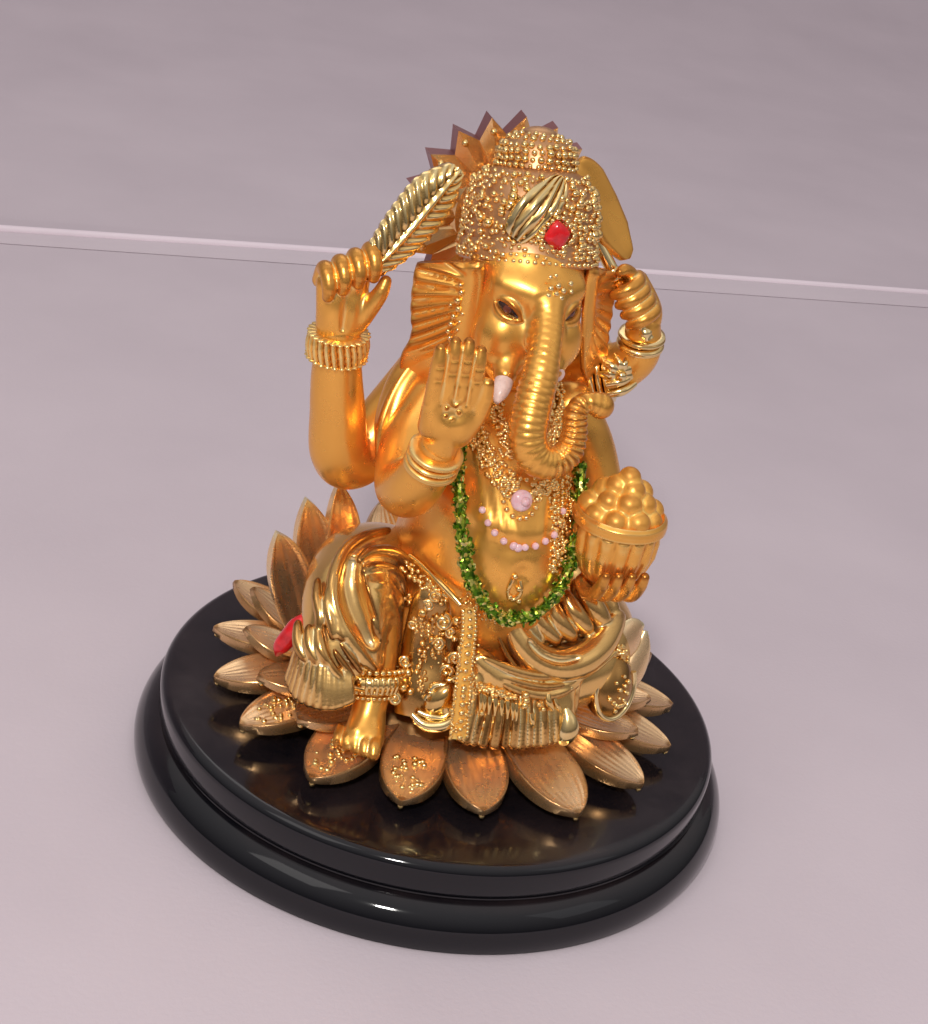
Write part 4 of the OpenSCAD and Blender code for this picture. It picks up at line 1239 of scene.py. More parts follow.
ARMS = {"arm_front_right": [(-10.4, -1.6, 63.5, 4), (-13.4, -5, 58.4, 4.4), (-15.4, -11, 55, 4.2),
                            (-15.6, -15.6, 57, 3.9), (-14.9, -18.6, 61.6, 3.3), (-14.4, -19.9, 65.6, 2.5)],
        "arm_rear_right": [(-10.4, 4.8, 65, 4), (-14.6, 3.6, 58.2, 4.4), (-19.2, 1.4, 52.8, 4.4),
                           (-22.4, -0.6, 54.6, 4.3), (-24, -1.8, 61.6, 3.9), (-25.1, -2.4, 67.6, 3.5),
                           (-25.7, -2.8, 73.6, 2.9)], "arm_front_left": [(10.4, -1.6, 63.5, 4),
        (13.6, -3, 58, 4.2), (15.8, -5.6, 51.6, 4), (16, -10, 47.6, 3.5), (15.6, -13.6, 46.2, 2.7)],
        "arm_rear_left": [(10.4, 4.8, 65, 4), (14.2, 3.4, 67.2, 4), (18, 1.2, 69.2, 3.6),
                          (19.7, -0.6, 72.4, 3.1), (19.3, -1, 76.6, 2.5)], }


def arm(node):
    """One arm, from its shoulder to its wrist."""
    s = smooth(ARMS[node], 10)
    low, high = (s[:, :3] - s[:, 3:4]).min(0) - 1.5, (s[:, :3] + s[:, 3:4]).max(0) + 1.5
    clay = Clay(low, high, 0.3)
    clay.limb(ARMS[node], 0, per=22)
    if node == "arm_rear_right":
        clay.ball((-21.4, 0.6, 52.6), 3.4, 1.5)
    make(node + "_modelled", clay.shape(), satin_gold, [node], sharp=80)


def cuff(node, place, d, radius, height, material, rows=3, flutes=0):
    """A bracelet of rolled bands, or a fluted cuff, round a wrist."""
    d = unit(d)
    across = unit(np.cross(d, [0, 1, 0]))
    other = np.cross(d, across)
    q = circle(144)
    t = np.linspace(0, 1, 40)
    bands = np.abs(np.sin(np.pi * rows * t))
    if flutes:
        wave = np.abs(np.sin(flutes * q[None] / 2 + 2.2 * t[:, None]))
        body = radius - 0.35 + 0.55 * wave**0.8 + 0.35 * np.sin(np.pi * t)[:, None]
    else:
        body = radius - 0.45 + 0.75 * bands[:, None] ** 0.7 + 0 * q[None]
    rim = 0.30 * (bump_at(t, 0.04, 0.05) + bump_at(t, 0.96, 0.05))[:, None]
    r = np.concatenate([np.full((1, 144), radius - 1.5), body + rim, np.full((1, 144), radius - 1.5)])
    z = np.concatenate([[0.02], t, [0.98]]) * height
    points = (np.asarray(place) + d * z[:, None, None]
              + across * (r * np.cos(q))[..., None] + other * (r * np.sin(q))[..., None])
    make(node + "_worked", Shape().grid(points), material, [node], sharp=60)


def hand(node, build):
    """One hand, shaped by its build function in a block round the CAD hand."""
    low, high = box(node)
    clay = Clay(low - 2.7, high + 2.7, 0.17)
    build(clay)
    make(node + "_modelled", clay.shape(), satin_gold, [node], sharp=80)


def hand_front_right(clay):
    """An open palm that faces the viewer, four fingers up and together, thumb at its side."""
    clay.limb([(-14.4, -19.8, 64.6, 2.5), (-14.4, -20.3, 67, 2.5), (-14.5, -20.9, 69.4, 2.4)], 0.0)
    for a, b in (((-16.4, -20.8, 68.6, 1.7), (-17.0, -21.7, 74.9, 1.15)),
                 ((-14.9, -21.0, 69.2, 1.7), (-15.1, -21.9, 75.0, 1.2)),
                 ((-13.5, -21.0, 69.2, 1.7), (-13.4, -21.9, 75.0, 1.2)),
                 ((-12.5, -20.9, 68.6, 1.8), (-11.9, -21.8, 74.8, 1.15))):
        clay.bone(a, b, 1.1)
    clay.ball((-12.4, -22.0, 69.2), 1.9, 1.0, stretch=(0.8, 0.7, 1.3))
    clay.ball((-16.7, -21.9, 70.2), 1.6, 1.0, stretch=(0.7, 0.7, 1.7))
    clay.ball((-14.5, -25.1, 72.0), 2.3, 0.8, True)
    for i, tip in enumerate((79.9, 81.0, 81.0, 80.0)):
        x = -17.1 + 1.75 * i
        clay.limb([(x, -21.7, 72.4, 1.12), (x - 0.02, -22.0, 75.6, 1.10),
                   (x + 0.02 * (i - 1.5), -22.1, tip - 1.8, 1.04), (x + 0.05 * (i - 1.5), -21.9, tip, 0.78)],
                  0.10, per=14)
        for z in (tip - 2.1, tip - 4.0):
            clay.bone((x - 0.6, -23.12, z, 0.12), (x + 0.6, -23.12, z, 0.12), 0.25, True)
    for i in range(3):
        x = -16.22 + 1.75 * i
        clay.bone((x, -23.0, 72.6, 0.16), (x, -22.9, 79.5, 0.22), 0.2, True)
    clay.limb([(-12.2, -20.9, 67.6, 1.7), (-10.9, -21.6, 70.4, 1.45), (-10.2, -22.1, 73.2, 1.12),
               (-10.1, -22.3, 75.6, 0.82)], 0.7)
    for k in range(5):
        a = 2 * math.pi * k / 5
        clay.ball((-14.5 + 0.95 * math.cos(a), -22.85, 71.6 + 0.95 * math.sin(a)), 0.30, 0.2)
    clay.limb([(-14.5, -22.9, 70.6, 0.24), (-15.2, -22.8, 69.6, 0.24), (-14.4, -22.7, 68.7, 0.24),
               (-13.6, -22.7, 69.4, 0.22)], 0.2)
    clay.limb([(-14.6, -22.9, 72.6, 0.22), (-15.3, -22.9, 73.6, 0.22), (-15.1, -22.9, 74.6, 0.2)], 0.2)
    clay.limb([(-14.1, -22.9, 72.6, 0.22), (-13.3, -22.9, 73.5, 0.22), (-13.6, -22.9, 74.6, 0.2)], 0.2)


def hand_rear_right(clay):
    """A raised hand whose fingers curl over the plume's stem."""
    clay.limb([(-25.7, -2.8, 72.6, 2.7), (-25.8, -2.9, 75.4, 2.6)], 0)
    for a, b in (((-27.2, -2.9, 75, 1.9), (-28.2, -3, 80.6, 1.7)),
                 ((-25.8, -3, 75.4, 2.0), (-26.2, -3, 81, 1.8)),
                 ((-24.6, -3, 75.4, 2.0), (-24.4, -3, 81.6, 1.8))):
        clay.bone(a, b, 1.2)
    clay.ball((-27.2, -4.3, 77.2), 1.7, 0.7, stretch=(0.85, 0.75, 1.7))
    clay.ball((-24.7, -4.3, 77.0), 1.7, 0.7, stretch=(0.85, 0.75, 1.7))
    clay.bone((-26.0, -5.6, 75.2, 0.28), (-26.1, -5.6, 79.4, 0.28), 0.4, True)
    for i in range(4):
        x, z = -29.0 + 1.95 * i, 81.4 + 1.05 * i
        clay.limb([(x, -1.4, z - 0.9, 1.12), (x, -2.6, z + 1.2, 1.12), (x + 0.1, -4.4, z + 1.2, 1.10),
                   (x + 0.35, -5.5, z - 0.5, 1.0), (x + 0.4, -5.2, z - 1.8, 0.8)], 0.2)
    clay.limb([(-23.6, -4.0, 75.6, 1.4), (-22.4, -4.7, 78.4, 1.3), (-21.4, -5, 80.6, 1.1),
               (-20.9, -4.8, 82.2, 0.8)], 0.6)


def hand_rear_left(clay):
    """A hand closed round the leaning handle, its fingers stacked along it."""
    clay.limb([(19.3, -1.0, 76.2, 2.3), (19.6, -0.7, 79.0, 2.0), (17.4, 0.5, 82.6, 1.8)], 0, per=14)
    for i in range(4):
        step = np.array([-0.95, 0.43, 1.28, 0]) * i
        clay.limb([np.array(p) + step for p in ((20.2, -1.2, 79.9, 0.86), (19.6, -3.0, 79.7, 0.95),
                                                (18.1, -4.1, 79.0, 0.98), (16.8, -3.9, 78.0, 0.9),
                                                (16.3, -3.0, 77.4, 0.7))], 0.08, per=12)
    clay.limb([(17.0, 0.2, 82.6, 1.2), (15.6, -0.7, 84.2, 1.1), (14.3, -1.6, 85.0, 0.95),
               (13.4, -2.2, 84.9, 0.7)], 0.3, per=12)


def hand_front_left(clay):
    """A hand under the bowl, its fingers curling up in front."""
    clay.limb([(15.6, -13.4, 46, 2.4), (15.2, -15, 44.6, 2.2)], 0)
    for i in range(4):
        x = 11.6 + 1.95 * i
        clay.bone((15.2, -14.6, 44.6, 1.6), (x, -17.2, 43.4, 1.1), 1.0)
        clay.limb([(x, -17.0, 43.2, 1.1), (x - 0.1, -19.6, 42.9, 1.08), (x - 0.2, -22.2, 44.2, 1.02),
                   (x - 0.3, -24.2, 46.8, 0.92), (x - 0.3, -24.9, 48.6, 0.7)], 0.2)
    clay.limb([(12.8, -14.4, 45.4, 1.35), (10.4, -15, 46.8, 1.25), (8.8, -15.7, 48.6, 1.1),
               (7.7, -16.8, 51, 0.85)], 0.5)


def arms():
    """Four arms and hands, the cuffs on the wrists, the armlet, and the leaf on the armlet."""
    for node in ARMS:
        arm(node)
    for node, build in (("hand_front_right", hand_front_right), ("hand_rear_right", hand_rear_right),
                        ("hand_rear_left", hand_rear_left), ("hand_front_left", hand_front_left)):
        hand(node, build)
    cuff("cuff_front_right", (-14.9, -19.1, 61.6), (0.08, -0.3, 1), 3.5, 3.3, satin_gold, rows=3)
    cuff("cuff_rear_right", (-25.5, -2.5, 69.8), (-0.05, -0.06, 1), 3.9, 3.9, satin_gold, flutes=26)
    cuff("cuff_rear_left", (19.6, -0.7, 73.2), (-0.1, -0.14, 1), 3.2, 2.4, gloss_gold, rows=2)
    cuff("armlet_rear_left", (14.6, 3, 67.2), (1, -0.5, 0.4), 4.4, 3.2, gloss_gold, rows=3)
    leaf = Shape()
    root = np.array([16.6, -2.6, 69.6])
    for k in range(6):
        q = math.radians(-100 + 40 * k)
        tip = root + [2.9 * math.sin(q), 1.0, 2.9 * math.cos(q)]
        leaf.tube([(*root, 0.6, 0.4), (*((tip + root) / 2 + [0, -0.5, 0]), 0.95, 0.6), (*tip, 0.3, 0.3)],
                  sides=12, per=5)
    leaf.balls([root + [0, -0.7, 0]], 0.85)
    for k in range(2):
        foot = root + [-1.6 + 0.5 * k, 0.2, -1.9 - 1.5 * k]
        leaf.tube([(*foot, 0.6), (*(foot + [2.0, -0.5, 0.9]), 0.72), (*(foot + [4.0, 0.4, 1.8]), 0.55)],
                  sides=12, per=5)
    make("armlet_leaf", leaf, gloss_gold)


# ---------------------------------------------------------------- what the hands hold

def bowl():
    """A fluted bowl with a rolled rim, heaped with round sweets."""
    low, high = box("bowl")
    c = (low + high) / 2
    radius, height = (high[0] - low[0]) / 2, high[2] - low[2]
    q = circle(180)
    profile = [(0.05, 0.0, 0), (2.6, 0.0, 0), (3.8, 0.5, 0.3), (5.3, 2.4, 1), (6.2, 5.0, 1), (6.35, 7.4, 1),
               (6.2, 8.4, 0.5), (6.0, 8.8, 0), (6.75, 9.1, 0), (6.8, 9.8, 0), (6.7, 10.5, 0), (6.2, 11.0, 0),
               (5.8, 10.6, 0), (5.7, 8, 0), (0.05, 7.6, 0)]
    line = []
    for i in range(len(profile) - 1):
        for t in np.linspace(0, 1, 6, endpoint=False):
            line.append([a + (b - a) * t for a, b in zip(profile[i], profile[i + 1])])
    line.append(profile[-1])
    rows = []
    for r, z, flute in line:
        k = radius / 6.8
        rr = r * k * (1 - 0.085 * flute * (1 - np.abs(np.sin(8 * q)) ** 0.8))
        rows.append(np.stack([c[0] + rr * np.cos(q), c[1] + rr * np.sin(q),
                              np.full(180, low[2] + z * height / 11)], 1))
    make("bowl_fluted", Shape().grid(np.array(rows)), satin_gold, ["bowl"], sharp=60)
    clay = Clay(box("sweets")[0] - 1, box("sweets")[1] + 1.5, 0.22)
    foot = np.array([c[0], c[1], low[2]])
    clay.ball(foot + [0, 0, 10.4], 5.6, 0.2, stretch=(1, 1, 0.45))
    for out, z, count, r, turn in ((4.5, 10.9, 9, 1.75, 0), (2.9, 12.9, 6, 1.8, 0.4),
                                   (1.3, 14.6, 3, 1.75, 0.9)):
        for k in range(count):
            a = 2 * math.pi * k / count + turn
            sweet = foot + [out * math.cos(a), out * math.sin(a), z + 0.25 * math.sin(3 * a + turn)]
            clay.ball(sweet, r * rng.uniform(0.92, 1.08), 0.25)
    clay.ball(foot + [0.1, 0, 16.0], 1.6, 0.3)
    make("sweets_heaped", clay.shape(), amber_gold, ["sweets"], sharp=80)


def axe():
    """A thin handle with rings, and a thick blade with rounded edges and a shallow hollow."""
    foot, top = np.array([19.6, -3, 75.4]), np.array([9.4, 2.4, 89.6])
    stations = []
    for t in np.arange(41) / 40:
        ring = 0.28 * (bump_at(t, 0.06, 0.02) + bump_at(t, 0.55, 0.015) + bump_at(t, 0.60, 0.015) + bump_at(t,
                0.97, 0.02))
        stations.append([*(foot + (top - foot) * t), 0.95 + ring])
    make("axe_handle_turned", Shape().tube(stations, across=(1, 0, 0), sides=20, per=3), gloss_gold,
         ["axe_handle"])
    spine = [(5.8, 3.2, 98.3, 0.9), (7.6, 3.4, 96.6, 2.7), (10.6, 3.0, 92.4, 3.2), (13.4, 2.2, 88.6, 2.7),
             (15.8, 1.4, 85.7, 0.7)]
    s = smooth(spine, 20)
    path = s[:, :3]
    _, u, v = axes_along(path, (1, 0.6, 0.4))
    t = np.linspace(0, 1, len(path))
    w = np.linspace(-1, 1, 33)
    half = np.interp(t, [0, 0.06, 0.3, 0.5, 0.72, 0.94, 1], [0.15, 1.6, 3.1, 3.35, 3.0, 1.4, 0.15])
    body = np.where(np.abs(w) < 0.70, 1.0, np.sqrt(np.clip(1 - ((np.abs(w) - 0.70) / 0.30) ** 2, 0, 1)))
    hollow = -0.22 * bump_at(w, -0.1, 0.45)
    thick = 0.95 * np.sin(np.pi * np.clip(t, 0.02, 0.98)) ** 0.3
    out = v if v[0] @ np.array([0, -1.0, 0]) > 0 else -v
    spread = path[:, None] + u[:, None] * (half[:, None] * w)[..., None]
    front = spread + out[:, None] * (thick[:, None] * (body + hollow))[..., None]
    rear = spread - out[:, None] * (thick[:, None] * (body + hollow))[..., None]
    make("axe_blade_bevelled", Shape().grid(np.concatenate([front, rear[:, ::-1]], 1)), satin_gold,
         ["axe_head"], sharp=60)


# ---------------------------------------------------------------- legs and cloth

def tapered(points, radius, ends=0.35):
    """Stations of one radius that thin out at both ends."""
    t = np.linspace(0, 1, len(points))
    thin = ends + (1 - ends) * np.sin(np.pi * np.clip(t, 0, 1)) ** 0.6
    return [(*p, radius * k) for p, k in zip(points, thin)]


def fold(clay, points, radius, blend=0.35, ends=0.35, cut=False):
    """A rolled fold, or a groove, along a smooth line of points."""
    line = smooth(points, 5)
    clay.limb(tapered(line, radius, ends), blend, per=2, cut=cut)


def between(first, second, count):
    """Lines that fan from evenly spaced points of one line to those of another."""
    a, b = smooth(first, 12), smooth(second, 12)
    out = []
    for t in np.linspace(0, 1, count):
        p = [np.interp(t, np.linspace(0, 1, len(line)), line[:, k]) for line in (a, b) for k in range(3)]
        out.append((np.array(p[:3]), np.array(p[3:])))
    return out


def right_leg():
    """The raised right knee: a cloth edge in a crescent, swirls over the knee, pleats and hem."""
    low, high = box("dhoti_right")
    clay = Clay(low - [2.5, 2.5, 1], high + [2.5, 1, 1.5], 0.2)
    clay.limb([(-6, 5, 28, 6.6), (-12.5, 1.4, 33.6, 7.3), (-18.4, -5.6, 37.0, 6.8),
               (-20.2, -10.6, 35.4, 6.4)], 0, per=14)
    clay.limb([(-20.6, -10, 36, 6.2), (-22.6, -14.4, 31.4, 5.0), (-23.2, -17.2, 26.4, 4.3)], 1.5, per=14)
    clay.limb([(-19.6, -10, 36, 6.2), (-19.6, -14.4, 32.0, 4.6), (-18.8, -16.0, 29.4, 3.6)], 1.5, per=14)
    rim = [(-14.4, -3.8, 43.6), (-18.4, -7.0, 44.4), (-21.8, -9.6, 43.4), (-23.8, -13.0, 41.6),
           (-24.3, -15.6, 39.1), (-23.3, -17.7, 36.4), (-20.9, -19.2, 33.2), (-18.0, -19.8, 30.0)]
    inside = [(-21.0, -11.2, 42.9), (-21.6, -13.9, 40.6), (-21.0, -15.8, 38.2), (-19.8, -17.0, 35.8),
              (-18.3, -17.8, 32.9)]
    fold(clay, inside, 2.1, 0.3, 0.4, cut=True)
    fold(clay, [p + np.array([0.5, -1.4, 0.3]) for p in np.array(inside)], 1.7, 0.3, 0.4, cut=True)
    fold(clay, rim, 1.0, 0.25, 0.55)
    arcs = [[(-20.3, -11.6, 42.8), (-18.6, -10.2, 43.4), (-16.3, -9.2, 43.2), (-13.9, -8.8, 42.4),
             (-11.7, -8.9, 40.7), (-11.0, -11.0, 39.0)], [(-19.9, -13.0, 41.8), (-18.4, -12.2, 42.2),
                                                          (-15.8, -10.9, 41.4), (-13.4, -10.2, 39.6),
                                                          (-12.3, -10.6, 37.0)],
            [(-19.2, -14.2, 40.2), (-17.4, -13.7, 40.3), (-15.2, -12.6, 38.8), (-13.6, -11.8, 36.6),
             (-13.2, -12.0, 34.0)]]
    for line, radius in zip(arcs, (0.95, 0.85, 0.85)):
        fold(clay, line, radius, 0.4)
    clay.limb([(-16.6, -12.4, 37.6, 2.0), (-15.0, -12.6, 34.4, 2.2), (-14.8, -13.4, 31.4, 2.2)], 1.4, per=10)
    fold(clay, [(-18.8, -15.1, 38.9), (-18.1, -15.6, 37.0), (-16.8, -15.6, 35.4), (-15.2, -14.6, 35.2)], 0.62,
         0.2)
    fold(clay, [(-18.4, -16.6, 36.4), (-17.6, -17.0, 34.4), (-16.4, -16.6, 32.6), (-15.2, -15.8, 32.4)], 0.7,
         0.2)
    for line in ([(-26.0, -12.4, 40.2), (-26.3, -14.6, 38.6), (-26.0, -16.8, 36.6), (-26.4, -17.8, 34.6)],
                 [(-24.9, -14.6, 40.0), (-25.0, -16.4, 38.0), (-24.6, -18.0, 36.2), (-24.4, -19.0, 34.6)],
                 [(-23.9, -17.2, 37.2), (-23.6, -18.4, 35.6), (-23.0, -19.2, 34.6)]):
        fold(clay, line, 0.85, 0.25)
    for line in ([(-28.6, -15.0, 34.8), (-28.6, -17.4, 32.6), (-27.8, -19.2, 31.2)],
                 [(-27.4, -16.8, 35.2), (-27.3, -18.6, 33.0), (-26.4, -20.2, 31.4)],
                 [(-26.2, -17.6, 35.2), (-26.0, -19.4, 33.2), (-25.0, -20.8, 31.6)]):
        fold(clay, line, 0.95, 0.25)
    for line in ([(-23.4, -18.6, 35.2), (-21.5, -19.4, 33.2), (-19.4, -20.0, 30.6)],
                 [(-23.2, -19.4, 34.0), (-21.5, -20.2, 32.0), (-20.0, -20.8, 30.0)],
                 [(-24.2, -19.8, 33.2), (-22.8, -20.8, 31.4), (-21.2, -21.4, 29.8)],
                 [(-25.2, -20.4, 32.4), (-24.0, -21.4, 30.8), (-22.6, -22.0, 29.4)]):
        fold(clay, line, 0.55, 0.15)
    top = [(-28.0, -14.6, 30.8), (-27.8, -18.2, 31.0), (-26.0, -20.4, 31.0), (-24.0, -21.2, 30.6),
           (-22.0, -21.2, 30.2)]
    hem = [(-28.4, -14.6, 25.0), (-28.2, -19.2, 25.4), (-26.2, -22.2, 25.9), (-23.8, -23.0, 26.2),
           (-21.6, -22.6, 27.0)]
    for a, b in between(top, hem, 13):
        clay.limb([(*a, 0.5), (*(a * 0.5 + b * 0.5 + [0, -0.25, 0]), 0.72), (*b, 0.85)], 0.15, per=4)
    foot_ring = np.array([-16.8, -17.6, 25.2])
    clay.ball(foot_ring + [0, 0, -2.6], 3.1, 0.3, cut=True)
    make("dhoti_right_folded", clay.shape(), fold_gold, ["dhoti_right"], sharp=80)


def bare_feet():
    """The right shin and foot under the hem, and the left foot laid across in front, with its rim."""
    low, high = box("foot_right")
    clay = Clay(low - 1.5, high + [1.5, 1.5, 10], 0.17)
    clay.limb([(-15.9, -13.2, 33.6, 2.6), (-16.4, -15.4, 28.8, 2.9), (-16.8, -17.2, 25.0, 2.7)], 0, per=14)
    make("shin_right_bare", clay.shape(), satin_gold, ["shin_right"], sharp=80)
    clay = Clay(low - 1.5, high + [2.5, 1.5, 3], 0.15)
    clay.limb([(-16.8, -17.6, 24.6, 2.5), (-17.8, -19.6, 21.8, 2.4), (-19.2, -21.4, 20.4, 2.0)], 0, per=12)
    clay.limb([(-16.2, -16.4, 21.4, 2.0), (-17.2, -20.2, 20.6, 2.2), (-17.4, -22.4, 20.0, 1.8)], 0.8, per=12)
    clay.ball((-18.9, -22.0, 19.7), 2.2, 0.8, stretch=(1.35, 1, 0.6))
    for k in range(5):
        x, y = -22.1 + 1.17 * k, -21.5 - 0.72 * k
        r = 0.62 + 0.09 * k
        clay.limb([(x + 0.5, y + 1.2, 20.6 - 0.05 * k, r), (x, y, 20.1, r * 1.05),
                   (x - 0.25, y - 0.9, 19.3, r * 0.92)], 0.16, per=6)
        clay.ball((x - 0.3, y - 1.15, 19.75), 0.42, 0.08, stretch=(1, 0.6, 0.7))
    make("foot_right_bare", clay.shape(), satin_gold, ["foot_right"], sharp=80)
    low, high = box("foot_left")
    clay = Clay(low - 2, high + 2, 0.16)
    clay.limb([(-0.6, -21.2, 25.0, 2.4), (-4, -21.8, 24.9, 2.2), (-6.6, -22.0, 25.0, 2.0)], 0, per=12)
    clay.ball((-8.2, -22.0, 26.5), 2.3, 0.5, stretch=(0.78, 0.7, 1.35), turn=rotation(y=34))
    for k in range(5):
        z = 23.0 + 1.05 * k
        clay.limb([(-6.6, -22.8 + 0.25 * k, z, 0.6), (-8.8, -22.9 + 0.25 * k, z + 0.1, 0.62),
                   (-10.0, -22.7 + 0.25 * k, z + 0.15, 0.5)], 0.2, per=5)
    make("foot_left_bare", clay.shape(), gloss_gold, ["foot_left"], sharp=80)
    rim = Shape()
    ring = [(-10.4, -21.8, 26.2), (-9.2, -21.6, 28.4), (-7.2, -22.2, 28.6), (-6.3, -22.9, 26.8),
            (-7.6, -23.7, 24.6), (-9.8, -23.2, 24.4), (-11.2, -22.4, 24.6)]
    rim.tube([(*p, 0.42) for p in ring], sides=10, per=8)
    rim.tube([(-12.0, -22.2, 24.0, 0.5), (-10.2, -23.5, 23.0, 0.8), (-7.8, -24.5, 23.6, 0.8),
              (-6.0, -24.8, 25.4, 0.5)], sides=12, per=8)
    rim.balls([(-11.4, -22.8, 23.3), (-6.3, -25.3, 23.2)], 0.62)
    make("foot_left_rim", rim, gloss_gold)


def anklet():
    """Rows of beads round the right ankle, with a small barred plate in front."""
    c = np.array([-17.2, -17.4, 26.2])
    rows = Shape()
    lean = rotation(x=-24)
    for z, rx, ry, r, count in ((2.0, 4.7, 4.1, 0.44, 30), (1.0, 4.6, 4.1, 0.55, 26),
                                (0.0, 4.3, 3.9, 0.40, 30), (-0.9, 3.8, 3.6, 0.45, 26),
                                (-1.8, 3.3, 3.2, 0.36, 26)):
        q = 2 * np.pi * np.arange(count) / count
        ring = np.stack([rx * np.cos(q), ry * np.sin(q), np.full(count, z)], 1)
        rows.balls(ring @ lean.T + c, r)
    q = np.linspace(0, 2 * np.pi, 40)
    band = np.stack([3.9 * np.cos(q), 3.4 * np.sin(q), np.full(40, 0.4)], 1) @ lean.T + c
    rows.tube(rod(band, 1.3)[::3], sides=10, per=4)
    for k in range(7):
        a = math.radians(-112 + 9.5 * k)
        top = np.array([4.8 * math.cos(a), 4.3 * math.sin(a), 0.9])
        rows.tube([(*(lean @ (top + [0, 0, 0.2]) + c), 0.30), (*(lean @ (top + [0, -0.1, -0.8]) + c), 0.34),
                   (*(lean @ (top * [0.94, 0.94, 1] + [0, 0, -1.9]) + c), 0.26)], across=(1, 0, 0), sides=8,
                  per=4)
    make("anklet_right_beaded", rows, bead_gold, ["anklet_right"])


def scrolls():
    """Curls and beads cast in the hollow between the legs."""
    curls = Shape()

    def curl(middle, radius, turns, start, wire):
        out = unit(np.array([-0.3, -0.92, 0.25]))
        across = unit(np.cross(out, [0, 0, 1]))
        up = np.cross(across, out)
        q = np.radians(start) + np.linspace(0, turns * 2 * np.pi, int(14 * turns) + 2)
        r = radius * np.linspace(1, 0.25, len(q))
        path = np.array(middle) + across * (r * np.cos(q))[:, None] + up * (r * np.sin(q))[:, None]
        curls.tube(rod(path, wire), sides=8, per=2)
        curls.balls([path[-1]], wire * 1.4)

    for row in (((-8.5, -18.0, 36.8), 1.15, 1.3, 90, 0.44),
                ((-9.6, -18.2, 29.4), 1.5, 1.4, 60, 0.42),
                ((-7.0, -19.8, 29.6), 1.4, 1.3, 200, 0.42),
                ((-8.6, -18.2, 33.2), 1.0, 1.2, 0, 0.44),
                ((-10.9, -17.0, 32.0), 0.9, 1.2, 120, 0.3),
                ((-11.6, -18.6, 27.8), 1.1, 1.3, 300, 0.34),
                ((-7.2, -18.4, 35.4), 0.8, 1.2, 240, 0.28),
                ((-10.6, -16.6, 38.6), 0.8, 1.2, 30, 0.34),
                ((-8.2, -20.6, 26.8), 1.3, 1.3, 150, 0.44),
                ((-13.0, -17.8, 30.2), 0.9, 1.1, 200, 0.34),
                ((-6.4, -20.4, 32.2), 1.0, 1.2, 320, 0.38),
                ((-12.2, -16.0, 35.2), 0.9, 1.1, 80, 0.34),
                ((-9.8, -16.4, 40.2), 0.8, 1.1, 260, 0.3),
                ((-14.4, -20.4, 25.4), 1.0, 1.2, 20, 0.36)):
        curl(*row)
    places = [(-11.1, -16.2, 37.2), (-11.2, -15.8, 33.6), (-10.4, -16.2, 31.0), (-11.3, -16.4, 29.8),
              (-11.0, -18.8, 27.3), (-13.2, -19.8, 27.0), (-9.1, -20.4, 27.6), (-10.9, -16.0, 35.6),
              (-10.0, -16.9, 34.6), (-9.9, -17.0, 32.4), (-6.8, -19.4, 34.9), (-6.6, -19.8, 32.0),
              (-12.4, -18.4, 28.6), (-12.1, -20.0, 26.4), (-6.9, -19.2, 37.8)]
    curls.balls(places, rng.uniform(0.5, 0.8, len(places)))
    back = Shape()
    back.tube([(-9.0, -14.6, 41.6, 1.6, 0.8), (-9.4, -15.4, 39.0, 3.0, 1.6), (-9.4, -15.6, 34.0, 3.6, 2.0),
               (-9.2, -17.0, 29.6, 4.2, 2.2), (-9.6, -19.0, 25.6, 4.4, 2.2), (-9.8, -20.2, 22.4, 4.0, 1.8)],
              across=(1, -0.45, 0), sides=28, per=8)
    filigree(curls, smooth([(-10.6, -17.8, 37.6), (-9.6, -18.2, 33.4), (-9.4, -19.6, 29.2),
                            (-9.2, -20.8, 26.2)], 8), 2.4, 9, 0.22, 0.52)
    make("scroll_ground", back, bronze_gold)
    make("scroll_curls", curls, bead_gold)


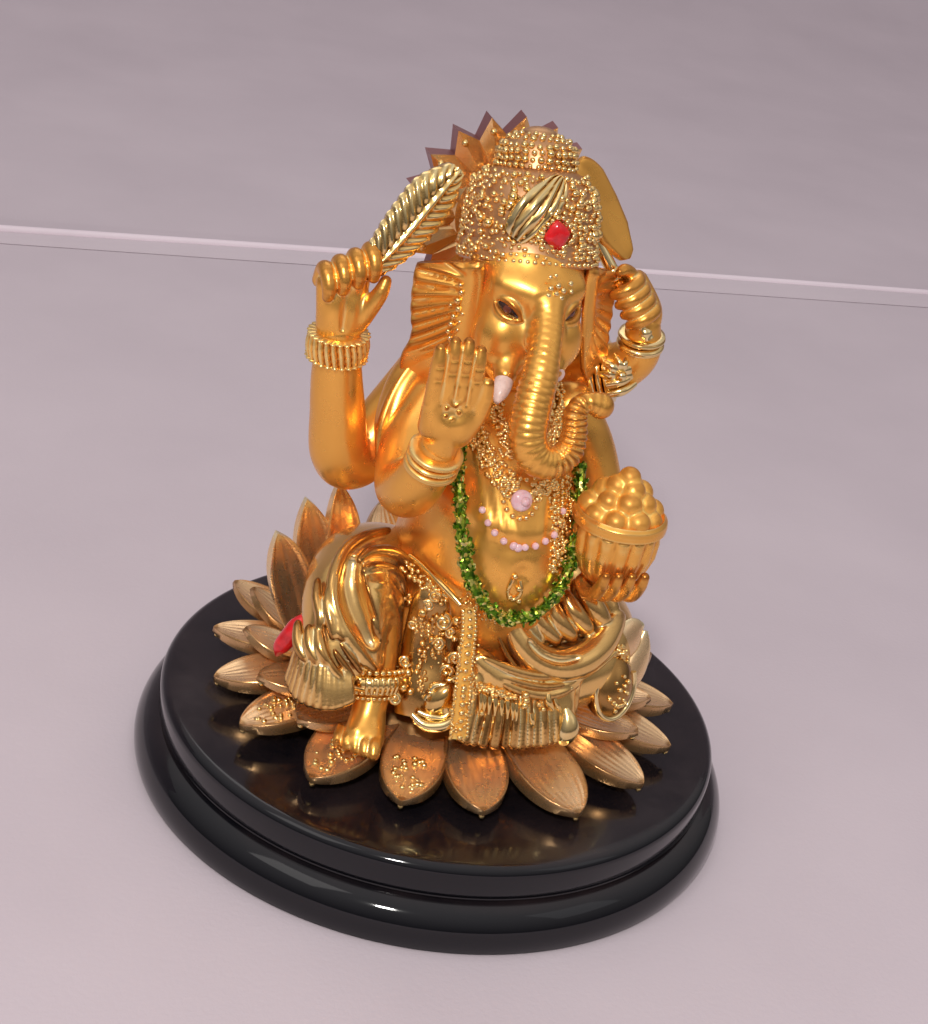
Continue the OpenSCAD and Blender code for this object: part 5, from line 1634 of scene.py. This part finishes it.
def left_leg():
    """The left thigh and shin laid across: rolled pleats over a broad glossy crescent, thin rolls below."""
    low, high = box("dhoti_left")
    clay = Clay(low - [2, 4, 1], high + [2, 1, 6], 0.215)
    clay.limb([(6, 5, 28, 6.8), (13.5, 0.6, 30.6, 7.6), (18.6, -7.6, 29.4, 6.9), (15.8, -14.6, 27.6, 5.8)], 0,
              per=14)
    clay.limb([(15.8, -14.6, 27.4, 5.6), (8, -18.6, 26.6, 4.8), (1.4, -20.0, 26.0, 4.2)], 1.2, per=14)
    clay.limb([(2.0, -15.4, 35.0, 3.4), (8, -13.6, 34.6, 3.6), (14.4, -11.0, 34.4, 3.6),
               (18.6, -9.4, 33.0, 3.2)], 1.6, per=14)
    rolls = [([(3.0, -17.6, 38.2), (4.2, -18.6, 36.6), (6.2, -19.2, 34.8)], 1.05),
             ([(5.0, -17.2, 38.9), (6.2, -18.6, 36.8), (8.6, -19.1, 34.6)], 1.25),
             ([(7.4, -16.4, 39.5), (8.8, -18.1, 37.2), (11.2, -18.5, 34.9)], 1.35),
             ([(10.0, -15.0, 39.8), (11.6, -17.0, 37.8), (13.8, -17.5, 35.4)], 1.45),
             ([(13.0, -12.8, 40.0), (14.8, -15.0, 38.0), (16.8, -15.8, 35.6)], 1.8),
             ([(16.6, -10.4, 39.0), (18.4, -12.4, 37.0), (19.4, -13.4, 35.0)], 1.5)]
    for line, radius in rolls:
        fold(clay, line, radius, 0.12, 0.7)
    crescent = [(1.2, -18.6, 38.0), (2.5, -19.8, 35.4), (5.0, -20.8, 32.9), (8.4, -21.3, 31.7),
                (11.8, -20.8, 32.0), (15.2, -19.0, 33.1), (17.9, -16.4, 34.4), (20.4, -13.0, 35.2)]
    fold(clay, crescent, 2.5, 0.3, 0.35)
    fold(clay, [(3.6, -21.4, 35.8), (5.6, -22.6, 34.4), (8.4, -23.0, 33.6), (11.2, -22.6, 33.8)], 0.7, 0.3,
         0.3, cut=True)
    fold(clay, [(-0.6, -19.8, 35.8), (0.9, -21.2, 33.2), (3.2, -22.8, 31.0), (6.6, -23.5, 29.7),
                (10.2, -23.1, 29.8), (13.8, -21.5, 30.7), (16.8, -19.6, 31.7), (19.0, -17.2, 33.0)], 0.5, 0.1,
         0.6)
    fold(clay, [(-2.4, -22.2, 31.4), (0.4, -23.1, 29.9), (3.4, -23.7, 28.9), (6.8, -23.9, 28.4),
                (9.8, -23.3, 28.8), (12.4, -21.9, 29.7)], 0.95, 0.4, 0.5)
    fold(clay, [(12.4, -21.4, 30.4), (11.8, -22.4, 28.0), (12.0, -22.6, 25.0), (12.6, -22.0, 22.6)], 0.8, 0.3)
    make("dhoti_left_folded", clay.shape(), fold_gold, ["dhoti_left"], sharp=80)


def apron():
    """The cloth that falls in front: fine pleats under two rolls and a bead ruffle, a knob at its corner."""
    low, high = box("apron")
    clay = Clay(low - [3, 2.5, 1], high + [6, 2.5, 2], 0.17)
    clay.limb([(-3.2, -20.4, 32, 1.8), (0.4, -21.6, 30.0, 2.2), (5.0, -21.6, 28.8, 2.4),
               (9.6, -21.2, 28.6, 2.2)], 0, per=12)
    for x in (-3.4, -0.6, 2.2, 5.0, 7.8, 10.0):
        clay.limb([(x, -21.4, 29, 1.9), (x * 1.02, -23.2, 25.6, 1.8), (x * 1.05, -24.6, 22.4, 1.5)], 1.2,
                  per=8)
    top = [(-5.0, -22.6, 29.6), (-2.2, -23.6, 28.9), (1.6, -24.2, 28.2), (5.0, -24.0, 28.1),
           (8.2, -23.4, 28.2), (11.0, -22.6, 28.2)]
    hem = [(-6.0, -25.4, 22.6), (-3.2, -26.2, 21.8), (1.6, -26.6, 21.6), (5.4, -26.4, 21.7),
           (9.0, -25.8, 21.8), (11.6, -24.8, 22.0)]
    for k, (a, b) in enumerate(between(top, hem, 17)):
        r = 0.52 + 0.16 * ((k * 7) % 3) / 2
        clay.limb([(*a, r * 0.8), (*(a * 0.5 + b * 0.5 + [0, -0.2 - 0.2 * (k % 2), 0]), r), (*b, r * 1.15)],
                  0.14, per=4)
    fold(clay, [(-3.0, -21.4, 33.2), (1.0, -22.6, 31.9), (5.4, -23.0, 31.0), (10.0, -22.4, 30.9)], 0.8, 0.1,
         0.5)
    fold(clay, [(-1.6, -22.6, 31.3), (2.6, -23.7, 30.3), (6.6, -23.9, 29.7), (10.6, -23.0, 29.7)], 0.62, 0.1,
         0.5)
    make("apron_pleated", clay.shape(), fold_gold, ["apron"], sharp=80)
    beads = Shape()
    edge = smooth([(-5.6, -22.6, 31.0), (-4.3, -23.4, 29.5), (-2.2, -24.2, 28.9), (-0.3, -24.8, 28.3),
                   (1.7, -25.0, 27.8)], 8)
    filigree(beads, edge, 0.9, 9, 0.26, 0.52)
    for k, (a, b) in enumerate(between([(-3.2, -24.4, 28.9), (2.0, -25.2, 27.8)],
                                       [(-3.2, -25.2, 26.4), (2.2, -26.0, 25.4)], 8)):
        beads.tube([(*a, 0.4), (*((a + b) / 2 + [0, -0.15, 0]), 0.36), (*b, 0.2)], sides=8, per=3)
    beads.balls([(3.3, -24.9, 29.0), (3.5, -25.0, 28.2), (3.4, -25.1, 27.4)], 0.62)
    beads.tube([(6.8, -24.4, 29.0, 0.4), (7.0, -24.9, 27.8, 0.6), (7.8, -24.9, 26.6, 0.45)], sides=10, per=5)
    beads.tube([(8.0, -24.4, 28.2, 0.3), (8.6, -24.7, 27.0, 0.45), (9.4, -24.6, 25.8, 0.35)], sides=10, per=5)
    beads.tube([(4.4, -25.6, 26.4, 0.3), (4.7, -25.9, 25.3, 0.45), (5.0, -25.9, 24.2, 0.35)], sides=10, per=5)
    beads.balls([(6.3, -25.2, 26.8), (-3.0, -25.6, 26.4), (5.5, -25.2, 27.6), (9.4, -23.8, 28.9),
                 (10.6, -23.4, 29.2)], 0.42)
    make("apron_bead_ruffle", beads, bead_gold)
    knob = Shape().tube([(10.0, -24.4, 26.4, 0.5, 0.5), (10.5, -25.2, 25.0, 1.3, 1.0),
                         (10.6, -25.8, 23.4, 1.6, 1.2), (10.0, -25.8, 21.9, 1.2, 1.0),
                         (9.4, -25.4, 21.3, 0.3, 0.3)], across=(1, 0, 0.2), sides=24, per=8)
    make("apron_corner_knob", knob, gloss_gold)


def knee_boss():
    """An egg-shaped boss on the outside of the left knee, ringed and beaded, with two curled leaves."""
    egg = Shape()
    c, up = np.array([19.0, -18.3, 26.2]), unit(np.array([0.10, 0.30, 0.95]))
    out = unit(np.array([0.25, -0.92, 0.18]))
    out = unit(out - up * (out @ up))
    side = np.cross(up, out)
    rows, cols = 50, 64
    t = np.linspace(0.02, np.pi - 0.02, rows)
    q = circle(cols)
    r = np.sin(t)[:, None] * (1 + 0.05 * np.cos(t))[:, None]
    points = (c + side * (3.7 * r * np.cos(q))[..., None] + out * (3.0 * r * np.sin(q))[..., None]
              + up * (5.0 * -np.cos(t)[:, None] + 0 * q)[..., None])
    egg.grid(points[:, ::-1] if np.cross(side, out) @ up > 0 else points)
    make("knee_boss_egg", egg, bronze_gold, ["knee_boss_left"])
    beads = Shape()

    def on_egg(a, b, lift=0.1):
        """A point on the egg, a to the side and b up, both from -1 to 1."""
        r = math.sqrt(max(1 - a * a - b * b, 0.02))
        return c + side * 3.7 * a + up * 5.0 * b + out * (3.0 * r + lift)

    ring = [on_egg(0.93 * math.cos(a), 0.93 * math.sin(a), 0.3) for a in np.linspace(math.radians(150),
            math.radians(395), 40)]
    egg_rim = Shape().tube([(*p, 0.5) for p in ring[::3]], sides=10, per=6)
    make("knee_boss_rim", egg_rim, gloss_gold)
    for a, b, r in ((-0.1, 0.05, 0.4), (0.12, 0.18, 0.34), (0.3, 0.3, 0.42), (-0.25, -0.35, 0.45),
                    (-0.1, -0.42, 0.42), (0.05, -0.45, 0.45), (0.2, -0.42, 0.4), (0.36, -0.35, 0.36),
                    (-0.45, -0.25, 0.46), (0.0, -0.62, 0.4), (0.2, 0.0, 0.3), (0.36, -0.05, 0.34),
                    (-0.3, 0.25, 0.3), (0.05, 0.45, 0.32), (0.2, -0.25, 0.3), (-0.05, -0.2, 0.3)):
        beads.balls([on_egg(a, b)], r)
    crest = [(18.4, -18.4, 31.6), (19.2, -18.0, 32.2), (20.2, -17.6, 31.8), (20.6, -17.8, 30.6),
             (21.0, -17.6, 29.4), (21.4, -17.3, 28.2)]
    filigree(beads, smooth(crest, 6), 0.7, 6, 0.3, 0.55)
    beads.tube([(13.2, -21.6, 30.0, 0.3), (15.0, -20.8, 31.0, 0.55), (17.0, -19.6, 31.8, 0.5),
                (18.6, -18.4, 32.2, 0.3)], sides=10, per=6)
    make("knee_boss_beads", beads, bead_gold)
    leaf = Shape().tube([(20.2, -15.6, 28.0, 1.0, 0.6), (22.0, -14.0, 31.0, 2.6, 0.9),
                         (23.6, -12.8, 32.6, 2.2, 0.8), (25.0, -12.2, 33.2, 0.5, 0.4)], across=(0.7, 0, -0.7),
                        sides=28, per=8)
    leaf.tube([(21.8, -15.8, 22.4, 1.4, 0.8), (24.0, -14.4, 26.0, 2.0, 0.9), (25.2, -13.2, 29.4, 1.6, 0.8),
               (25.6, -12.4, 32.2, 0.4, 0.3)], across=(1, 0, 0), sides=24, per=8)
    make("knee_leaf_left", leaf, petal_gold)


def sash():
    """The beaded end of the sash, hanging down the middle of the front."""
    path = smooth([(-6.4, -21.4, 40.8), (-5.9, -21.6, 38), (-6.1, -23.4, 33), (-6.1, -24.9, 27.5),
                   (-5.9, -26.0, 22.6)], 12)
    strip = Shape()
    wide = np.linspace(0.9, 1.25, len(path))
    strip.tube(np.concatenate([path, wide[:, None], np.full((len(path), 1), 0.6)], 1)[::4], across=(1, 0, 0),
               sides=20, per=5)
    make("sash_band", strip, amber_gold, ["sash"])
    beads = Shape()
    places = evenly(path, 0.62)
    front = np.array([0, -0.6, 0.1])
    for k, p in enumerate(places):
        w = np.interp(k, [0, len(places)], [0.85, 1.2])
        beads.balls([p + front * 0.8 + [w, 0.2, 0], p + front * 0.8 + [-w, 0.2, 0]], rng.uniform(0.26, 0.36))
        if k % 2 == 0:
            beads.balls([p + front * 1.05], rng.uniform(0.34, 0.5))
    filigree(beads, path[len(path) // 3:] + front, 1.6, 4, 0.2, 0.42)
    make("sash_beads", beads, bead_gold)


def waist_edge():
    """The beaded upper edge of the cloth, slanting from the right hip to the middle."""
    edge = Shape()
    path = [(-12.6, -10.6, 43.4), (-11.4, -13.0, 43.2), (-10.0, -16.4, 42.8), (-8.6, -18.6, 42.0),
            (-7.2, -20.4, 41.0)]
    edge.tube([(*p, r) for p, r in zip(path, (0.35, 0.5, 0.6, 0.6, 0.4))], sides=12, per=8)
    low_line = smooth([(-13.2, -11.0, 42.2), (-11.8, -13.6, 41.4), (-10.2, -16.4, 40.8), (-8.8, -18.2, 40.2)],
                      8)
    filigree(edge, low_line, 0.9, 7, 0.26, 0.5)
    make("waist_cloth_edge", edge, bead_gold)


def shawl():
    """Cloth folds that fall from the right shoulder, behind the arm."""
    low, high = box("shawl")
    clay = Clay(low - 2.5, high + 2.5, 0.2)
    clay.limb([(-10.4, 2.6, 70, 1.8), (-13.6, 1.4, 65.4, 2.6), (-15.8, -1.4, 60, 2.4),
               (-16.6, -3.6, 55, 1.3)], 0, per=12)
    for dx, r in ((-2.0, 0.8), (-0.6, 0.9), (0.9, 0.85), (2.2, 0.7)):
        line = [(-10.4 + dx * 0.7, 1.4, 70.4), (-13.4 + dx, -0.4, 65.4), (-15.6 + dx, -3.0, 60),
                (-16.4 + dx * 0.6, -4.4, 55)]
        fold(clay, line, r, 0.2)
    make("shawl_folds", clay.shape(), satin_gold, ["shawl"], sharp=80)


def red_bud():
    """The painted bud at the right knee."""
    bud = Shape().tube([(-29.8, -10.6, 26.4, 0.3), (-29.4, -10.6, 27.8, 1.15), (-28.4, -10.8, 29.8, 1.35),
                        (-27.4, -11.0, 31.8, 1.3), (-26.4, -11.2, 33.6, 0.5)], across=(1, 0, 0), sides=24,
                       per=8)
    make("red_bud_painted", bud, red_enamel, ["red_bud"])


def knee_leaves():
    """Three curled leaves that stand behind the right knee."""
    shape = Shape()
    for root, tip, half in (((-18.5, 7.0, 20.6), (-25.0, 2.6, 44.6), 3.4),
                            ((-22.0, 4.0, 20.4), (-29.6, -1.4, 41.0), 3.4),
                            ((-15.0, 8.0, 20.6), (-20.4, 3.0, 47.4), 3.0)):
        root, tip = np.array(root), np.array(tip)
        rows, cols = 26, 22
        t = np.linspace(0, 1, rows)
        side = unit(np.cross(tip - root, [0.2, -1, 0.1]))
        out = unit(np.cross(side, tip - root))
        out = out if out[1] < 0 else -out
        w = np.linspace(-1, 1, cols)
        half_at = half * np.sqrt(np.clip(1 - (t - 0.6) ** 2 / 0.5, 0, 1)) * (1 - t**7)
        mid = root + (tip - root) * t[:, None] - out * (1.0 * t**3)[:, None]
        lift = 0.4 * bump_at(np.abs(w), 0.85, 0.14) + 0.35 * w**2 - 0.2 * bump_at(w, 0, 0.12)
        face = mid[:, None] + side * (half_at[:, None] * w)[...,
                                                            None] + out * (0.5 + lift[None, :,
                None] * ramp(half_at, 0, half)[:, None, None])
        belly = 0.35 + (1.1 * (1 - w**2) + 0.3 * bump_at(w, 0, 0.1))[None] * ramp(half_at, 0, half)[:, None]
        rear = mid[:, None] + side * (half_at[:, None] * w)[..., None] - out * belly[..., None]
        shape.grid(np.concatenate([face, rear[:, ::-1]], 1))
    make("knee_leaves_right", shape, petal_gold)


plinth()
lotus()
head()
tusks()
for side in (1, -1):
    ear(side)
crown()
halo()
plume()
skin = torso()
garland()
chest(skin)
for build in (belt, arms, bowl, axe, right_leg, bare_feet, anklet, scrolls, left_leg, apron, knee_boss, sash,
              waist_edge, shawl, red_bud, knee_leaves):
    build()


# ---------------------------------------------------------------- stage

def cloth(name="backdrop_cloth", highlight_gain=1.0):
    """The mauve cloth that the figure stands on; the second argument scales its two colours, so a lighter
    copy carries a painted highlight.
    """
    n = Nodes(name)
    low, high = np.array([(0.60, 0.52, 0.565), (0.65, 0.565, 0.61)]) * highlight_gain
    n.join(n.colours(n.noise(0.02, 4), [(0.3, tuple(low)), (0.7, tuple(high))]),
           n.shader.inputs["Base Color"])
    n.shader.inputs["Roughness"].default_value = 0.9
    n.bump(n.noise(1.2, 2), 0.25, 0.2)
    return n.material


def staged(name, shape, material):
    """A piece of the stage, which isn't part of the object."""
    verts, quads, _ = shape.arrays()
    mesh = bpy.data.meshes.new(name)
    mesh.from_pydata((verts * MM).tolist(), [], quads.tolist())
    mesh.shade_smooth()
    mesh.materials.append(material)
    piece = bpy.data.objects.new(name, mesh)
    bpy.context.scene.collection.objects.link(piece)


def backdrop():
    """A floor that swells and curves up into a wall behind the figure, and a rolled hem across it in lighter
    cloth as a painted highlight.
    """
    run = [(-900, 0), (-300, 0), (0, 0), (150, 0), (217, 0), (221, 0.2), (224, 1.4), (228, 2.2), (233, 1.6),
           (240, 1.0), (260, 0.6), (330, 0.2), (500, 0), (640, 25), (740, 110), (790, 240), (800, 700)]
    line = smooth([(y, z, 0) for y, z in run], 8)
    across = np.linspace(-1500, 1500, 9)
    flat = np.ones(len(across))
    points = np.stack([np.stack([across, flat * y, flat * z], 1) for y, z, _ in line])
    staged("floor", Shape().grid(points, wrap=False), cloth())
    hem = [(x, 227.0 + 1.2 * math.sin(x / 90), 1.9, 1.15) for x in np.linspace(-1500, 1500, 80)]
    # the hem's cloth is 1.42 times lighter: a painted highlight along the ridge
    staged("floor_hem", Shape().tube(hem, sides=12, per=3), cloth("hem_cloth_highlight", 1.42))


def look_matrix(azimuth, elevation, roll=0.0):
    """Right, up and back directions of a camera, turned about its own axis by roll."""
    a, e, r = (math.radians(v) for v in (azimuth, elevation, roll))
    back = np.array([math.sin(a) * math.cos(e), -math.cos(a) * math.cos(e), math.sin(e)])
    right = np.array([math.cos(a), math.sin(a), 0])
    up = np.cross(back, right)
    return (right * math.cos(r) + up * math.sin(r), up * math.cos(r) - right * math.sin(r), back)


def place_by(thing, position, right, up, back):
    """Puts a camera or a light at a position in millimetres, with the given axes."""
    from mathutils import Matrix
    m = Matrix.Identity(4)
    for k, axis in enumerate((right, up, back)):
        for row in range(3):
            m[row][k] = axis[row]
    for row in range(3):
        m[row][3] = position[row] * MM
    thing.matrix_world = m


def camera():
    """Close, a little above, from the figure's right, and held slightly turned."""
    distance, azimuth, elevation, roll = 300, -20, 26.39, 10.83
    aside, above = 5.7, 39.6
    right, up, back = look_matrix(azimuth, elevation, roll)
    data = bpy.data.cameras.new("camera")
    data.lens, data.sensor_width = 66.2, 36
    data.clip_start, data.clip_end = 0.01, 10
    cam = bpy.data.objects.new("camera", data)
    bpy.context.scene.collection.objects.link(cam)
    place_by(cam, back * distance + right * aside + up * above, right, up, back)
    bpy.context.scene.camera = cam


def lamp(name, azimuth, elevation, distance, size, watts, colour):
    """A soft rectangular light that faces the middle of the figure."""
    right, up, back = look_matrix(azimuth, elevation)
    data = bpy.data.lights.new(name, "AREA")
    data.shape, data.size, data.size_y = "RECTANGLE", size[0] * MM, size[1] * MM
    data.energy, data.color = watts, colour
    light = bpy.data.objects.new(name, data)
    bpy.context.scene.collection.objects.link(light)
    place_by(light, np.array([0, 0, 50]) + back * distance, right, up, back)


def lights():
    """A small warm flash, three weak boxes, and a room that is dark at the horizon and bright overhead."""
    lamp("flash", -26, 40, 560, (50, 36), 1.62, (1.0, 0.97, 0.92))
    lamp("key_box", -70, 50, 700, (300, 300), 0.30, (1.0, 0.96, 0.93))
    lamp("fill_box", 50, 35, 700, (300, 300), 0.08, (0.96, 0.96, 1.0))
    lamp("back_box", 170, 50, 700, (400, 300), 0.30, (1.0, 0.97, 0.95))
    world = bpy.data.worlds.new("room")
    world.use_nodes = True
    sky = world.node_tree.nodes["Background"]
    tree = world.node_tree
    place = tree.nodes.new("ShaderNodeTexCoord")
    split = tree.nodes.new("ShaderNodeSeparateXYZ")
    band = tree.nodes.new("ShaderNodeValToRGB")
    tree.links.new(place.outputs["Generated"], split.inputs["Vector"])
    tree.links.new(split.outputs["Z"], band.inputs["Fac"])
    tree.links.new(band.outputs["Color"], sky.inputs["Color"])
    band.color_ramp.elements.new(0.3)
    for element, (at, colour) in zip(band.color_ramp.elements,
                                     ((0.0, (0.10, 0.092, 0.094)), (0.3, (0.34, 0.32, 0.325)),
                                      (1.0, (0.86, 0.82, 0.835)))):
        element.position = at
        element.color = (*colour, 1)
    sky.inputs["Strength"].default_value = 0.80
    bpy.context.scene.world = world
    bpy.context.scene.view_settings.view_transform = "Standard"


backdrop()
camera()
lights()
